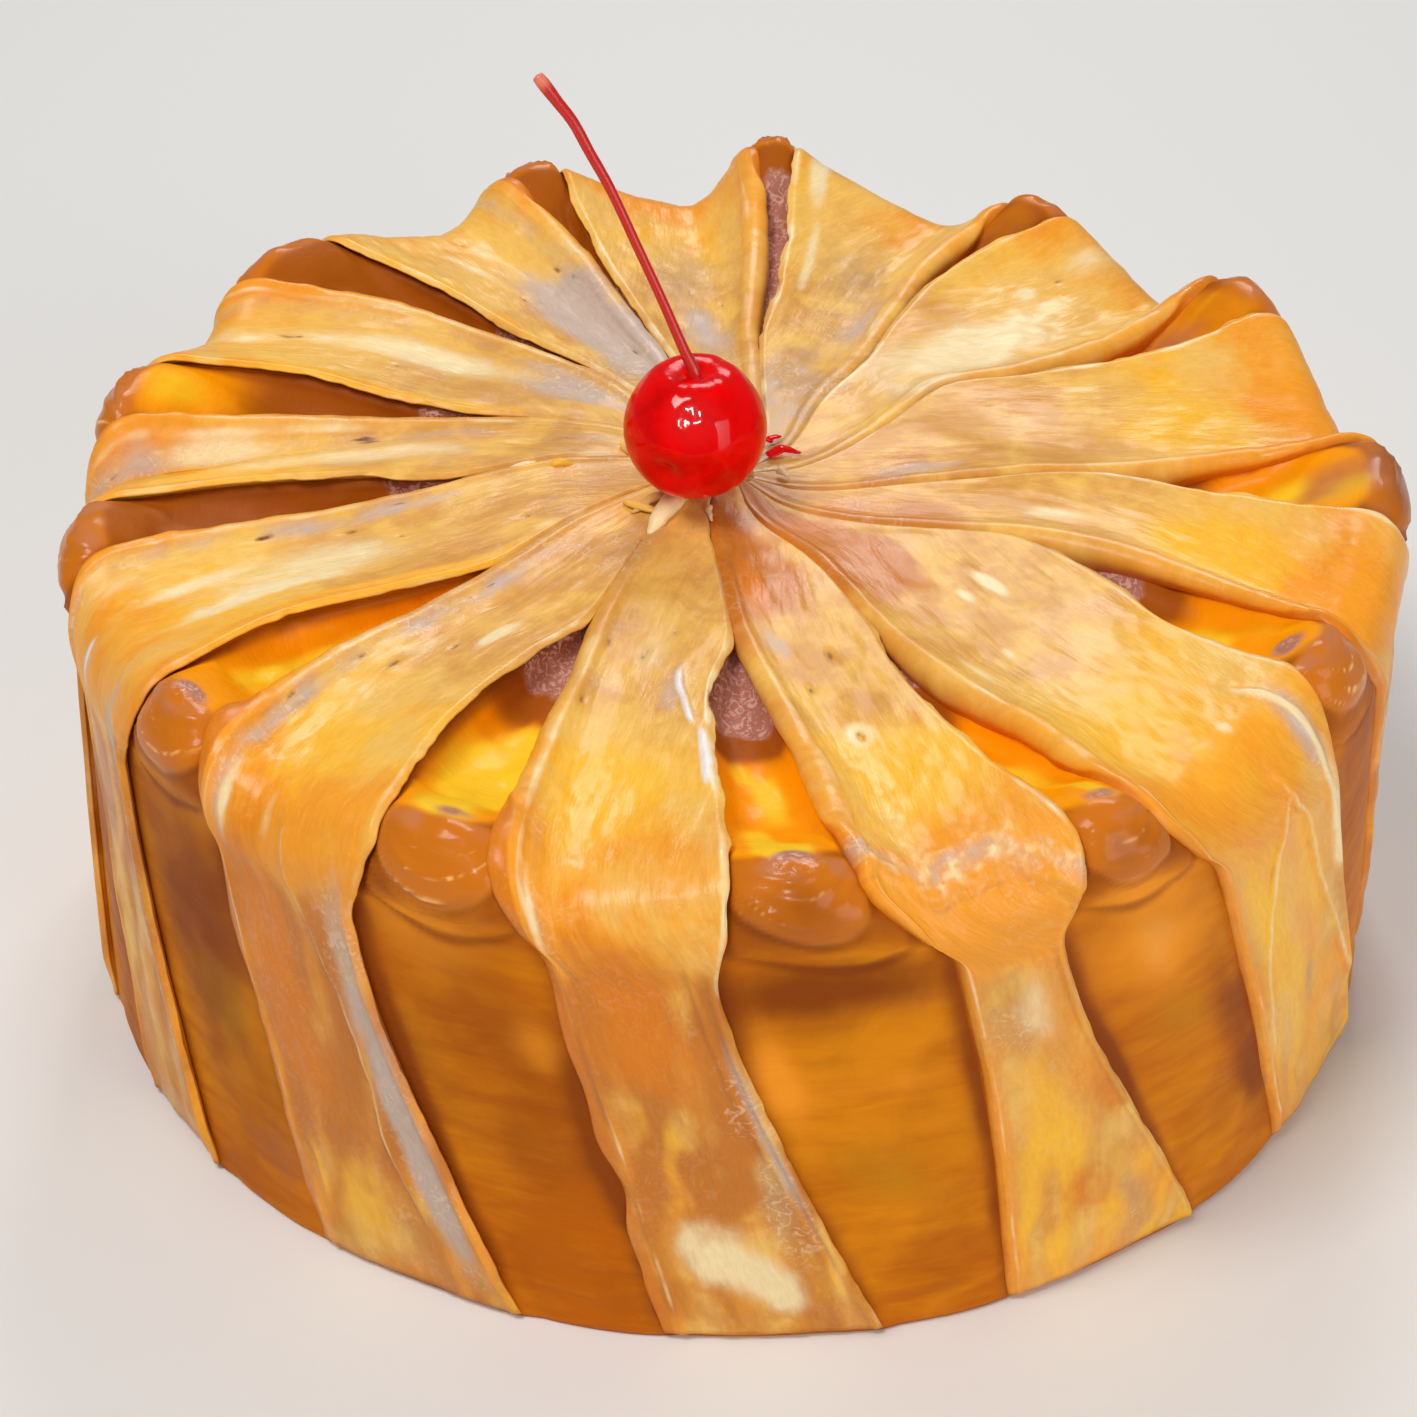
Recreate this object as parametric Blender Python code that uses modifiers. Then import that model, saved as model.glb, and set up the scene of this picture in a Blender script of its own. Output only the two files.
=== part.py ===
"""Round iced cake: a caramel undercoat, thirteen swept bands of cream and one cherry on its stem.

Run it from the text editor or with blender --background --python part.py. Units are metres, +Z is up,
and the origin is the middle of the flat underside, on the floor.
"""

import math
from dataclasses import dataclass

import bmesh
import bpy
from mathutils import Vector

MM = 0.001
SHARP_ANGLE = 40.0

# Undercoat, millimetres
TOP_HEIGHT = 78.4
DOME_RISE = 5.0
DOME_RADIUS = 95.0
FLAT_RADIUS = 99.5
CORNER_RADIUS = 8.0
SIDE_FLARE = 1.6
FOOT_CHAMFER = 0.5

# The pinwheel of bands turns about a point a little behind the axis, millimetres
SWIRL_CENTRE_Y = 5.4
RIM_RADIUS = 105.0
EYE_TURN = 14.0

# Low mound that the cherry sits on, millimetres
MOUND_PLACE = (-6.5, -5.6)
MOUND_RISE = 2.4
MOUND_SPREAD = 8.0

# Pockets between the bands, millimetres
POCKET_DEPTH = 5.5
CREASE_WIDTHS = (0.9, 1.2, 2.0)
POCKET_SHARE_OF_WIDTH = 0.75
CREASE_DEPTH = 0.5
LIP_RISE = 2.6
LIP_BULGE = 2.8
EDGE_BULGE_SHARE = 0.3
PANEL_SWELL = 0.6
RIDGE_RISE = 0.8
FLOOR_POWER = 4
ARCH_POWER = 2.4
CORNER_LOSS = 0.5

# Distances along the profile from the eye between which each feature grows or fades, millimetres
CREASE_GROWS = (0.0, 20.0)
CREASE_FADES = (92.0, 99.0)
POCKET_DEEPENS = (38.0, 64.0)
POCKET_CLOSES = (82.0, 101.0)
LIP_GROWS = (92.0, 101.0)
BULGE_GROWS = (95.0, 104.0)
BULGE_FADES = (107.0, 116.0)
SIDE_STARTS = (108.0, 117.0)
LIFT_FADES = (112.1, 129.0)
CREST_POWER = 2.2

# Shape of a band from its first edge, share 0, to its second, share 1
STEEP_SHARE = 0.40
GENTLE_START = 0.15
GENTLE_POWER = 1.6
RIDGE_START = 0.7

# Bands of cream, millimetres
BAND_THICKNESS = 1.6
BAND_CLEARANCE = 0.35
BAND_INNER_END = 9.5
BAND_FOOT = 1.2

# Cherry and stem, metres
CHERRY_RADIUS = 0.01165
CHERRY_CENTRE = Vector((-0.0065, -0.0056, 0.0994))
CHERRY_DIMPLE_DEPTH = 0.0022
CHERRY_DIMPLE_SPREAD = 0.30
CHERRY_SQUASH = 0.985
STEM_RADIUS = 0.00085
STEM_POINTS = (
    (-0.0068, -0.0051, 0.1097, 1.20),
    (-0.0084, -0.0038, 0.1131, 1.02),
    (-0.0117, -0.0015, 0.1204, 0.95),
    (-0.0154, 0.0010, 0.1281, 0.95),
    (-0.0195, 0.0037, 0.1366, 0.95),
    (-0.0228, 0.0055, 0.1423, 1.00),
    (-0.0253, 0.0069, 0.1467, 1.05),
    (-0.0278, 0.0079, 0.1498, 1.15),
    (-0.0298, 0.0087, 0.1523, 1.25),
    (-0.0309, 0.0091, 0.1536, 1.20),
)

# Lines of the grid: distances along the profile from the eye, the ones where a pocket's edges are set,
# and shares of the way across a pocket and a band
ROWS = (0.0, 9.5, 16.0, 25.0, 35.0, 45.0, 54.0, 62.0, 70.0, 78.0, 86.0, 93.0, 99.5,
        103.7, 107.9, 112.1, 118.0, 129.0, 143.0, 158.0, 171.0, 181.3)
EDGE_KEYS = (10.0, 25.0, 45.0, 60.0, 80.0, 105.0, 117.0, 182.0)
POCKET_SHARES = (0.0, 0.14, 0.34, 0.66, 0.86)
BAND_SHARES = (0.0, 0.14, 0.38, 0.7)

CARAMEL = (0.40, 0.125, 0.012)
CREAM = (0.80, 0.53, 0.20)
CHERRY_RED = (0.42, 0.0, 0.0)
STEM_RED = (0.50, 0.03, 0.01)


@dataclass(frozen=True)
class Pocket:
    """One pocket and the panel below it: azimuths in degrees, pairs for its two edges, heights in mm.

    rim, mid, inner, waist and foot are its edges at five of EDGE_KEYS. crease and eye are the middle of
    its narrow inner end. lobe is how far its lip stands over the top, and trough the band's after it.
    reach is how far its lip stands out from the rim, or in.
    """

    rim: tuple
    mid: tuple
    inner: tuple
    crease: float
    eye: float
    waist: tuple
    foot: tuple
    lobe: float
    trough: float
    reach: float = 0.0

    def edges(self, s):
        """Azimuths of the two edges at distance s along the profile."""
        middles = (self.eye - EYE_TURN, self.eye, self.crease)
        halves = [math.degrees(width / key) / 2 for width, key in zip(CREASE_WIDTHS, EDGE_KEYS)]
        outer = (self.inner, self.mid, self.rim, self.waist, self.foot)
        low = [middle - half for middle, half in zip(middles, halves)] + [pair[0] for pair in outer]
        high = [middle + half for middle, half in zip(middles, halves)] + [pair[1] for pair in outer]
        return smooth_curve(EDGE_KEYS, low, s), smooth_curve(EDGE_KEYS, high, s)


# Anticlockwise from the right side, seen from above
POCKETS = (
    Pocket((-10, 4), (-6, 3), (0, 2), 0, -9, (-5, 11), (8, 21), 12.5, 1.0),
    Pocket((25.3, 35), (26.5, 33), (32, 35), 39, 28, (24, 40), (37, 50), 15.0, 1.5),
    Pocket((53.3, 60.5), (60, 63.5), (60.5, 62.5), 59.5, 57, (52, 66), (63, 76), 14.0, 4.0),
    Pocket((83, 88.5), (82.4, 86.6), (82.2, 86.2), 84.5, 79, (80, 93), (92, 104), 19.0, 4.5),
    Pocket((107.5, 114.7), (108, 110.5), (107, 109.5), 107, 103, (104, 118), (115, 128), 16.5, 6.5),
    Pocket((135, 147), (130.5, 137), (128.5, 132), 126, 121, (132, 148), (144, 158), 15.0, 6.5),
    Pocket((163, 174.5), (157, 168), (156.5, 163), 155, 143, (161, 176), (171, 185), 13.5, 2.0, -1.2),
    Pocket((183.5, 192.5), (179, 188.5), (177.5, 186.5), 179.5, 166, (184, 199), (196, 209), 7.0, 1.0),
    Pocket((213.5, 223.5), (209, 219), (211, 217.5), 215, 205, (211, 225.5), (221, 235), 7.5, 2.0),
    Pocket((241, 252), (237.5, 249), (238, 246.5), 242, 235, (239.5, 256.5), (252.5, 265.5), 8.0, 1.5),
    Pocket((269, 279.5), (267.5, 278), (266, 275), 269.5, 263, (268.5, 287), (281.5, 293), 7.0, 1.5),
    Pocket((296.4, 304), (294.5, 302.5), (293.5, 299), 296, 294, (295, 311), (311, 324), 7.0, 1.0),
    Pocket((325.5, 334.5), (327, 338.5), (334, 341.5), 338, 323, (326, 340), (339, 351), 8.5, 0.5, -2.4),
)


def remove_all():
    """Removes the objects that the start-up scene holds."""
    for obj in list(bpy.data.objects):
        bpy.data.objects.remove(obj, do_unlink=True)


def make_material(name, colour, roughness, coat=0.0):
    """Makes a Principled material."""
    material = bpy.data.materials.new(name)
    material.use_nodes = True
    shader = material.node_tree.nodes["Principled BSDF"]
    shader.inputs["Base Color"].default_value = (*colour, 1.0)
    shader.inputs["Roughness"].default_value = roughness
    shader.inputs["Metallic"].default_value = 0.0
    shader.inputs["Coat Weight"].default_value = coat
    material.diffuse_color = (*colour, 1.0)
    return material


def ease(span, value):
    """Smooth step from 0 at the span's start to 1 at its end."""
    start, end = span
    share = min(max((value - start) / (end - start), 0.0), 1.0)
    return share * share * (3.0 - 2.0 * share)


def smooth_curve(keys, values, s):
    """Cubic curve through the values at the keys, held at both ends."""
    if s <= keys[0]:
        return values[0]
    if s >= keys[-1]:
        return values[-1]
    slopes = []
    for i in range(len(keys)):
        before = max(i - 1, 0)
        after = min(i + 1, len(keys) - 1)
        slopes.append((values[after] - values[before]) / (keys[after] - keys[before]))
    i = max(k for k in range(len(keys) - 1) if keys[k] <= s)
    span = keys[i + 1] - keys[i]
    t = (s - keys[i]) / span
    return ((2 * t ** 3 - 3 * t ** 2 + 1) * values[i] + (t ** 3 - 2 * t ** 2 + t) * span * slopes[i]
            + (3 * t ** 2 - 2 * t ** 3) * values[i + 1] + (t ** 3 - t ** 2) * span * slopes[i + 1])


def profile(s):
    """Radius, height and corner angle at distance s from the eye, before any relief."""
    corner_end = FLAT_RADIUS + CORNER_RADIUS * math.pi / 2
    if s <= FLAT_RADIUS:
        dome = max(0.0, 1.0 - (s / DOME_RADIUS) ** 2) ** 2
        return s, TOP_HEIGHT + DOME_RISE * dome, 0.0
    if s <= corner_end:
        angle = (s - FLAT_RADIUS) / CORNER_RADIUS
        radius = FLAT_RADIUS + CORNER_RADIUS * math.sin(angle)
        return radius, TOP_HEIGHT - CORNER_RADIUS * (1.0 - math.cos(angle)), angle
    height = TOP_HEIGHT - CORNER_RADIUS - (s - corner_end)
    flare = SIDE_FLARE * (1.0 - height / (TOP_HEIGHT - CORNER_RADIUS))
    return FLAT_RADIUS + CORNER_RADIUS + flare, height, math.pi / 2


def mound(x, y):
    """Rise of the top under the cherry at a place in plan, millimetres."""
    off = math.hypot(x - MOUND_PLACE[0], y - MOUND_PLACE[1])
    return MOUND_RISE * math.exp(-(off / MOUND_SPREAD) ** 2)


def crest_growth(s):
    """Share of a lobe's full height that its edges have at distance s."""
    return min(s / RIM_RADIUS, 1.0) ** CREST_POWER


def over_rim(s):
    """Share of the rim's full outward bulge at distance s."""
    return ease(BULGE_GROWS, s) * (1.0 - ease(BULGE_FADES, s))


def pocket_relief(pocket, width, share, s):
    """Lift and bulge of the undercoat inside a pocket or a side panel, millimetres."""
    middle = 1.0 - abs(2.0 * share - 1.0) ** FLOOR_POWER
    arch = 1.0 - abs(2.0 * share - 1.0) ** ARCH_POWER
    crease = CREASE_DEPTH * ease(CREASE_GROWS, s) * (1.0 - ease(CREASE_FADES, s))
    pocket_depth = POCKET_DEPTH * ease(POCKET_DEEPENS, s) * (1.0 - ease(POCKET_CLOSES, s))
    depth = max(min(pocket_depth, POCKET_SHARE_OF_WIDTH * width), crease)
    lip = LIP_RISE * ease(LIP_GROWS, s)
    lift = pocket.lobe * crest_growth(s) + lip * arch - depth * middle
    on_side = ease(SIDE_STARTS, s)
    ridge = RIDGE_RISE * on_side * max(0.0, 1.0 - share / POCKET_SHARES[1])
    rim = LIP_BULGE * over_rim(s) * (EDGE_BULGE_SHARE + (1.0 - EDGE_BULGE_SHARE) * arch)
    return lift, rim + ridge + PANEL_SWELL * on_side * middle


def band_relief(before, after, share, s):
    """Lift and bulge of the undercoat under a band, between the pockets before and after it."""
    steep = max(0.0, 1.0 - share / STEEP_SHARE) ** 2
    gentle = max(0.0, (share - GENTLE_START) / (1.0 - GENTLE_START)) ** GENTLE_POWER
    hollow = max(0.0, 1.0 - steep - gentle)
    lift = crest_growth(s) * (before.lobe * steep + after.lobe * gentle + before.trough * hollow)
    ridge = RIDGE_RISE * ease(SIDE_STARTS, s) * max(0.0, (share - RIDGE_START) / (1.0 - RIDGE_START))
    return lift, EDGE_BULGE_SHARE * LIP_BULGE * over_rim(s) * max(steep, gentle) + ridge


def skin_point(column, s):
    """Point of the undercoat's surface at a column of the grid and a distance s."""
    pocket, following, on_band, share = column
    low, high = pocket.edges(s)
    following_low = following.edges(s)[0]
    if following_low < high:
        following_low += 360.0
    radius, height, angle = profile(s)
    if on_band:
        azimuth = high + (following_low - high) * share
        reach = pocket.reach + (following.reach - pocket.reach) * share
        lift, bulge = band_relief(pocket, following, share, s)
    else:
        azimuth = low + (high - low) * share
        reach = pocket.reach
        lift, bulge = pocket_relief(pocket, math.radians(high - low) * max(radius, 1.0), share, s)
    lift *= (1.0 - ease(LIFT_FADES, s)) * (1.0 - CORNER_LOSS * (angle / (math.pi / 2)) ** 2)
    radius += bulge + reach * over_rim(s)
    turn = math.radians(azimuth)
    eye = SWIRL_CENTRE_Y * max(0.0, 1.0 - (radius / RIM_RADIUS) ** 2)
    x = radius * math.cos(turn)
    y = radius * math.sin(turn) + eye
    return Vector((x, y, height + lift + mound(x, y))) * MM


def pocket_columns(index):
    """Grid columns across one pocket."""
    pocket = POCKETS[index]
    following = POCKETS[(index + 1) % len(POCKETS)]
    return [(pocket, following, False, share) for share in POCKET_SHARES]


def band_columns(index, closed=False):
    """Grid columns across the band that follows a pocket."""
    pocket = POCKETS[index]
    following = POCKETS[(index + 1) % len(POCKETS)]
    shares = BAND_SHARES + ((1.0,) if closed else ())
    return [(pocket, following, True, share) for share in shares]


def mapped_grid(columns, rows, place):
    """Makes a grid of columns by rows and puts each of its vertices where place says."""
    bm = bmesh.new()
    bmesh.ops.create_grid(bm, x_segments=len(columns) - 1, y_segments=len(rows) - 1, size=1.0)
    for vert in bm.verts:
        i = round((vert.co.x + 1.0) / 2.0 * (len(columns) - 1))
        j = round((1.0 - vert.co.y) / 2.0 * (len(rows) - 1))
        vert.co = place(columns[i], rows[j])
    bmesh.ops.triangulate(bm, faces=list(bm.faces), quad_method="FIXED")
    bmesh.ops.remove_doubles(bm, verts=list(bm.verts), dist=0.000001)
    bmesh.ops.dissolve_degenerate(bm, edges=list(bm.edges), dist=0.000001)
    return bm


def finish_mesh(bm, name, material, smooth):
    """Turns the bmesh into an object in the cake's collection."""
    mesh = bpy.data.meshes.new(name)
    bm.to_mesh(mesh)
    bm.free()
    mesh.materials.append(material)
    if smooth:
        mesh.shade_smooth()
        mesh.set_sharp_from_angle(angle=math.radians(SHARP_ANGLE))
    obj = bpy.data.objects.new(name, mesh)
    bpy.data.collections["tres_leches_cake"].objects.link(obj)
    return obj


def make_cake(material):
    """Makes the sponge and its caramel undercoat as one solid."""
    columns = []
    for index in range(len(POCKETS)):
        columns += pocket_columns(index) + band_columns(index)
    columns.append(columns[0])
    rows = ROWS + ("foot", "middle")

    def place(column, row):
        if row == "middle":
            return Vector((0.0, 0.0, 0.0))
        if row == "foot":
            point = skin_point(column, ROWS[-1])
            point.z = 0.0
            return point - Vector((point.x, point.y, 0.0)).normalized() * FOOT_CHAMFER * MM
        if row == 0.0:
            height = TOP_HEIGHT + DOME_RISE + mound(0.0, SWIRL_CENTRE_Y)
            return Vector((0.0, SWIRL_CENTRE_Y, height)) * MM
        return skin_point(column, row)

    bm = mapped_grid(columns, rows, place)
    bmesh.ops.recalc_face_normals(bm, faces=list(bm.faces))
    return finish_mesh(bm, "cake", material, True)


def make_band(index, material):
    """Makes the shell of cream that lies on the undercoat after one pocket."""
    name = "cream_band_%02d" % (index + 1)
    rows = [s for s in ROWS if s >= BAND_INNER_END]
    columns = band_columns(index, closed=True)
    bm = mapped_grid(columns, rows, skin_point)
    bm.normal_update()
    if sum((face.normal.dot(face.calc_center_median()) for face in bm.faces)) < 0.0:
        bmesh.ops.reverse_faces(bm, faces=list(bm.faces))
        bm.normal_update()
    moves = [(vert, vert.normal * BAND_CLEARANCE * MM) for vert in bm.verts]
    for vert, move in moves:
        vert.co += move
    for vert in bm.verts:
        vert.co.z = max(vert.co.z, BAND_FOOT * MM)
    obj = finish_mesh(bm, name, material, True)
    shell = obj.modifiers.new("Thickness", "SOLIDIFY")
    shell.thickness = BAND_THICKNESS * MM
    shell.offset = 1.0
    return obj


def make_cherry(material):
    """Makes the cherry: a ball a little wider than tall, dimpled where the stem enters."""
    bm = bmesh.new()
    bmesh.ops.create_uvsphere(bm, u_segments=28, v_segments=16, radius=CHERRY_RADIUS)
    for vert in bm.verts:
        outward = vert.co.normalized()
        off_pole = math.acos(max(-1.0, min(1.0, outward.z)))
        dimple = CHERRY_DIMPLE_DEPTH * math.exp(-(off_pole / CHERRY_DIMPLE_SPREAD) ** 2)
        vert.co -= outward * dimple
        vert.co.z *= CHERRY_SQUASH
        vert.co += CHERRY_CENTRE
    return finish_mesh(bm, "cherry", material, True)


def make_stem(material):
    """Makes the thin curved stem as a tube with a thicker tip."""
    curve = bpy.data.curves.new("cherry_stem_path", "CURVE")
    curve.dimensions = "3D"
    curve.bevel_depth = STEM_RADIUS
    curve.bevel_resolution = 2
    curve.use_fill_caps = True
    spline = curve.splines.new("POLY")
    spline.points.add(len(STEM_POINTS) - 1)
    for point, (x, y, z, width) in zip(spline.points, STEM_POINTS):
        point.co = (x, y, z, 1.0)
        point.radius = width
    path = bpy.data.objects.new("cherry_stem_path", curve)
    bpy.data.collections["tres_leches_cake"].objects.link(path)
    bpy.context.view_layer.update()
    shaped = path.evaluated_get(bpy.context.evaluated_depsgraph_get())
    mesh = bpy.data.meshes.new_from_object(shaped)
    bpy.data.objects.remove(path, do_unlink=True)
    bm = bmesh.new()
    bm.from_mesh(mesh)
    bpy.data.meshes.remove(mesh)
    bmesh.ops.remove_doubles(bm, verts=list(bm.verts), dist=0.00001)
    bmesh.ops.recalc_face_normals(bm, faces=list(bm.faces))
    return finish_mesh(bm, "cherry_stem", material, True)


def main():
    """Builds the cake."""
    remove_all()
    collection = bpy.data.collections.new("tres_leches_cake")
    bpy.context.scene.collection.children.link(collection)
    caramel = make_material("caramel_icing", CARAMEL, 0.38, 0.25)
    cream = make_material("cream_icing", CREAM, 0.60)
    red = make_material("cherry_skin", CHERRY_RED, 0.12, 0.6)
    stem_red = make_material("stem_skin", STEM_RED, 0.35)
    make_cake(caramel)
    for index in range(len(POCKETS)):
        make_band(index, cream)
    make_cherry(red)
    make_stem(stem_red)


if __name__ == "__main__":
    main()
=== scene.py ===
import logging
import math
from dataclasses import dataclass, field
from enum import Enum

import bpy
import numpy as np
from mathutils import Matrix, Vector


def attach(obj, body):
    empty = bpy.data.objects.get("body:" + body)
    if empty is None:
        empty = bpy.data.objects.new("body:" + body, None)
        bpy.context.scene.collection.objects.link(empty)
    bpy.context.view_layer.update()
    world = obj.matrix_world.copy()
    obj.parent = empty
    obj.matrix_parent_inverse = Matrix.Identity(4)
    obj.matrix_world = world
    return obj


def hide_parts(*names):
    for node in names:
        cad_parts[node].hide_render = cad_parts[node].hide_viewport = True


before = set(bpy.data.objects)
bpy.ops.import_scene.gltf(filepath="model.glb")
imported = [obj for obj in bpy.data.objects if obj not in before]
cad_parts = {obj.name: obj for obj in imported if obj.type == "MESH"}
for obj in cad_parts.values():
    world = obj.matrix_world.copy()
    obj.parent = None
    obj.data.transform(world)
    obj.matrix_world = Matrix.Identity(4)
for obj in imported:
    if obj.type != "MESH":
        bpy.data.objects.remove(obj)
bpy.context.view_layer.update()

log = logging.getLogger("cake")

MM = 0.001
BANDS = 13

# Distances along the profile from the eye, in millimetres, between which each feature grows or fades
CREASE_GROWS = (0.0, 20.0)
CREASE_FADES = (92.0, 99.0)
POCKET_DEEPENS = (38.0, 64.0)
POCKET_CLOSES = (82.0, 101.0)
LIP_GROWS = (92.0, 101.0)
BULGE_GROWS = (95.0, 104.0)
BULGE_FADES = (107.0, 116.0)
SIDE_STARTS = (108.0, 117.0)
LIFT_FADES = (112.1, 129.0)
FOOT = 181.3


class Tone(Enum):
    """A colour that is worked into the cream, with the name of the attribute that carries it."""

    WARM = "warm"
    GREY = "grey"
    # pale: paler cream, and also painted highlights on edges, tears and small glints
    PALE = "pale"
    CARAMEL = "caramel"
    LILAC = "lilac"
    GOLD = "gold"
    # brown: dark streaks, and painted shade in pits, under ledges and past torn edges
    BROWN = "brown"
    TOFFEE = "toffee"
    # painted highlight: pale strokes where ridges catch the light
    WHITE = "white"


@dataclass(frozen=True)
class Pocket:
    """One pocket and the panel below it: azimuths in degrees, pairs for its two edges, heights in mm."""

    rim: tuple
    mid: tuple
    inner: tuple
    crease: float
    eye: float
    waist: tuple
    foot: tuple
    lobe: float
    trough: float
    mauve_end: float = 62.0
    gold: float = 1.0
    reach: float = 0.0


@dataclass(frozen=True)
class Touch:
    """A soft spot of one tone on a band: its place in mm along and share across, its half sizes in mm."""

    tone: Tone
    along: float
    share: float
    length: float
    width: float
    strength: float = 1.0


@dataclass(frozen=True)
class Fold:
    """A ridge or a ledge along a line on a band: points (mm along, share across), height and width in mm."""

    points: tuple
    height: float
    width: float
    ledge: bool = False
    tone: Tone | None = None


@dataclass(frozen=True)
class Tear:
    """A torn edge across a band, where a thicker layer of cream ends: points (share across, mm along)."""

    points: tuple
    height: float = 0.9
    fade: float = 8.0
    ragged: float = 1.2


@dataclass(frozen=True)
class Pit:
    """A small dent darkened with painted shade, with a pale ring: its place in mm along and share across, its
    half sizes in mm.
    """

    along: float
    share: float
    length: float = 1.3
    width: float = 0.5
    ring: float = 0.3


@dataclass(frozen=True)
class BandStyle:
    """What sets one band of cream apart: tints, touches, folds, tears and pits."""

    warm: float = 1.0
    grey: float = 1.0
    lilac: float = 0.3
    side_grey: float = 0.25
    side_gold: float = 0.5
    drape: float = 1.5
    fan: float = 0.0
    toffee: float = 1.0
    streaked: float = 0.0
    golden: float = 0.0
    touches: tuple = ()
    folds: tuple = ()
    tears: tuple = ()
    pits: tuple = ()


# Anticlockwise from the right side, seen from above
POCKETS = (
    Pocket((-10, 4), (-6, 3), (0, 2), 0, -9, (-5, 11), (8, 21), 12.5, 1.0, 70.0, 0.9),
    Pocket((25.3, 35), (26.5, 33), (32, 35), 39, 28, (24, 40), (37, 50), 15.0, 1.5, 62.0, 0.55),
    Pocket((53.3, 60.5), (60, 63.5), (60.5, 62.5), 59.5, 57, (52, 66), (63, 76), 14.0, 4.0, 60.0, 0.3),
    Pocket((83, 88.5), (82.4, 86.6), (82.2, 86.2), 84.5, 79, (80, 93), (92, 104), 19.0, 4.5, 96.0, 0.0),
    Pocket((107.5, 114.7), (108, 110.5), (107, 109.5), 107, 103,
           (104, 118), (115, 128), 16.5, 6.5, 70.0, 0.0),
    Pocket((135, 147), (130.5, 137), (128.5, 132), 126, 121, (132, 148), (144, 158), 15.0, 6.5, 66.0, 0.12),
    Pocket((163, 174.5), (157, 168), (156.5, 163), 155, 143,
           (161, 176), (171, 185), 13.5, 2.0, 58.0, 0.15, -1.2),
    Pocket((183.5, 192.5), (179, 188.5), (177.5, 186.5), 179.5, 166,
           (184, 199), (196, 209), 7.0, 1.0, 58.0, 0.1),
    Pocket((213.5, 223.5), (209, 219), (211, 217.5), 215, 205,
           (211, 225.5), (221, 235), 7.5, 2.0, 42.0, 0.85),
    Pocket((241, 252), (237.5, 249), (238, 246.5), 242, 235,
           (239.5, 256.5), (252.5, 265.5), 8.0, 1.5, 61.0, 1.0),
    Pocket((269, 279.5), (267.5, 278), (266, 275), 269.5, 263,
           (268.5, 287), (281.5, 293), 7.0, 1.5, 63.0, 1.0),
    Pocket((296.4, 304), (294.5, 302.5), (293.5, 299), 296, 294,
           (295, 311), (311, 324), 7.0, 1.0, 60.0, 1.0),
    Pocket((325.5, 334.5), (327, 338.5), (334, 341.5), 338, 323,
           (326, 340), (339, 351), 8.5, 0.5, 70.0, 0.9, -2.4),
)

# Narrow pale touches are painted glints; broad ones are paler cream
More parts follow.
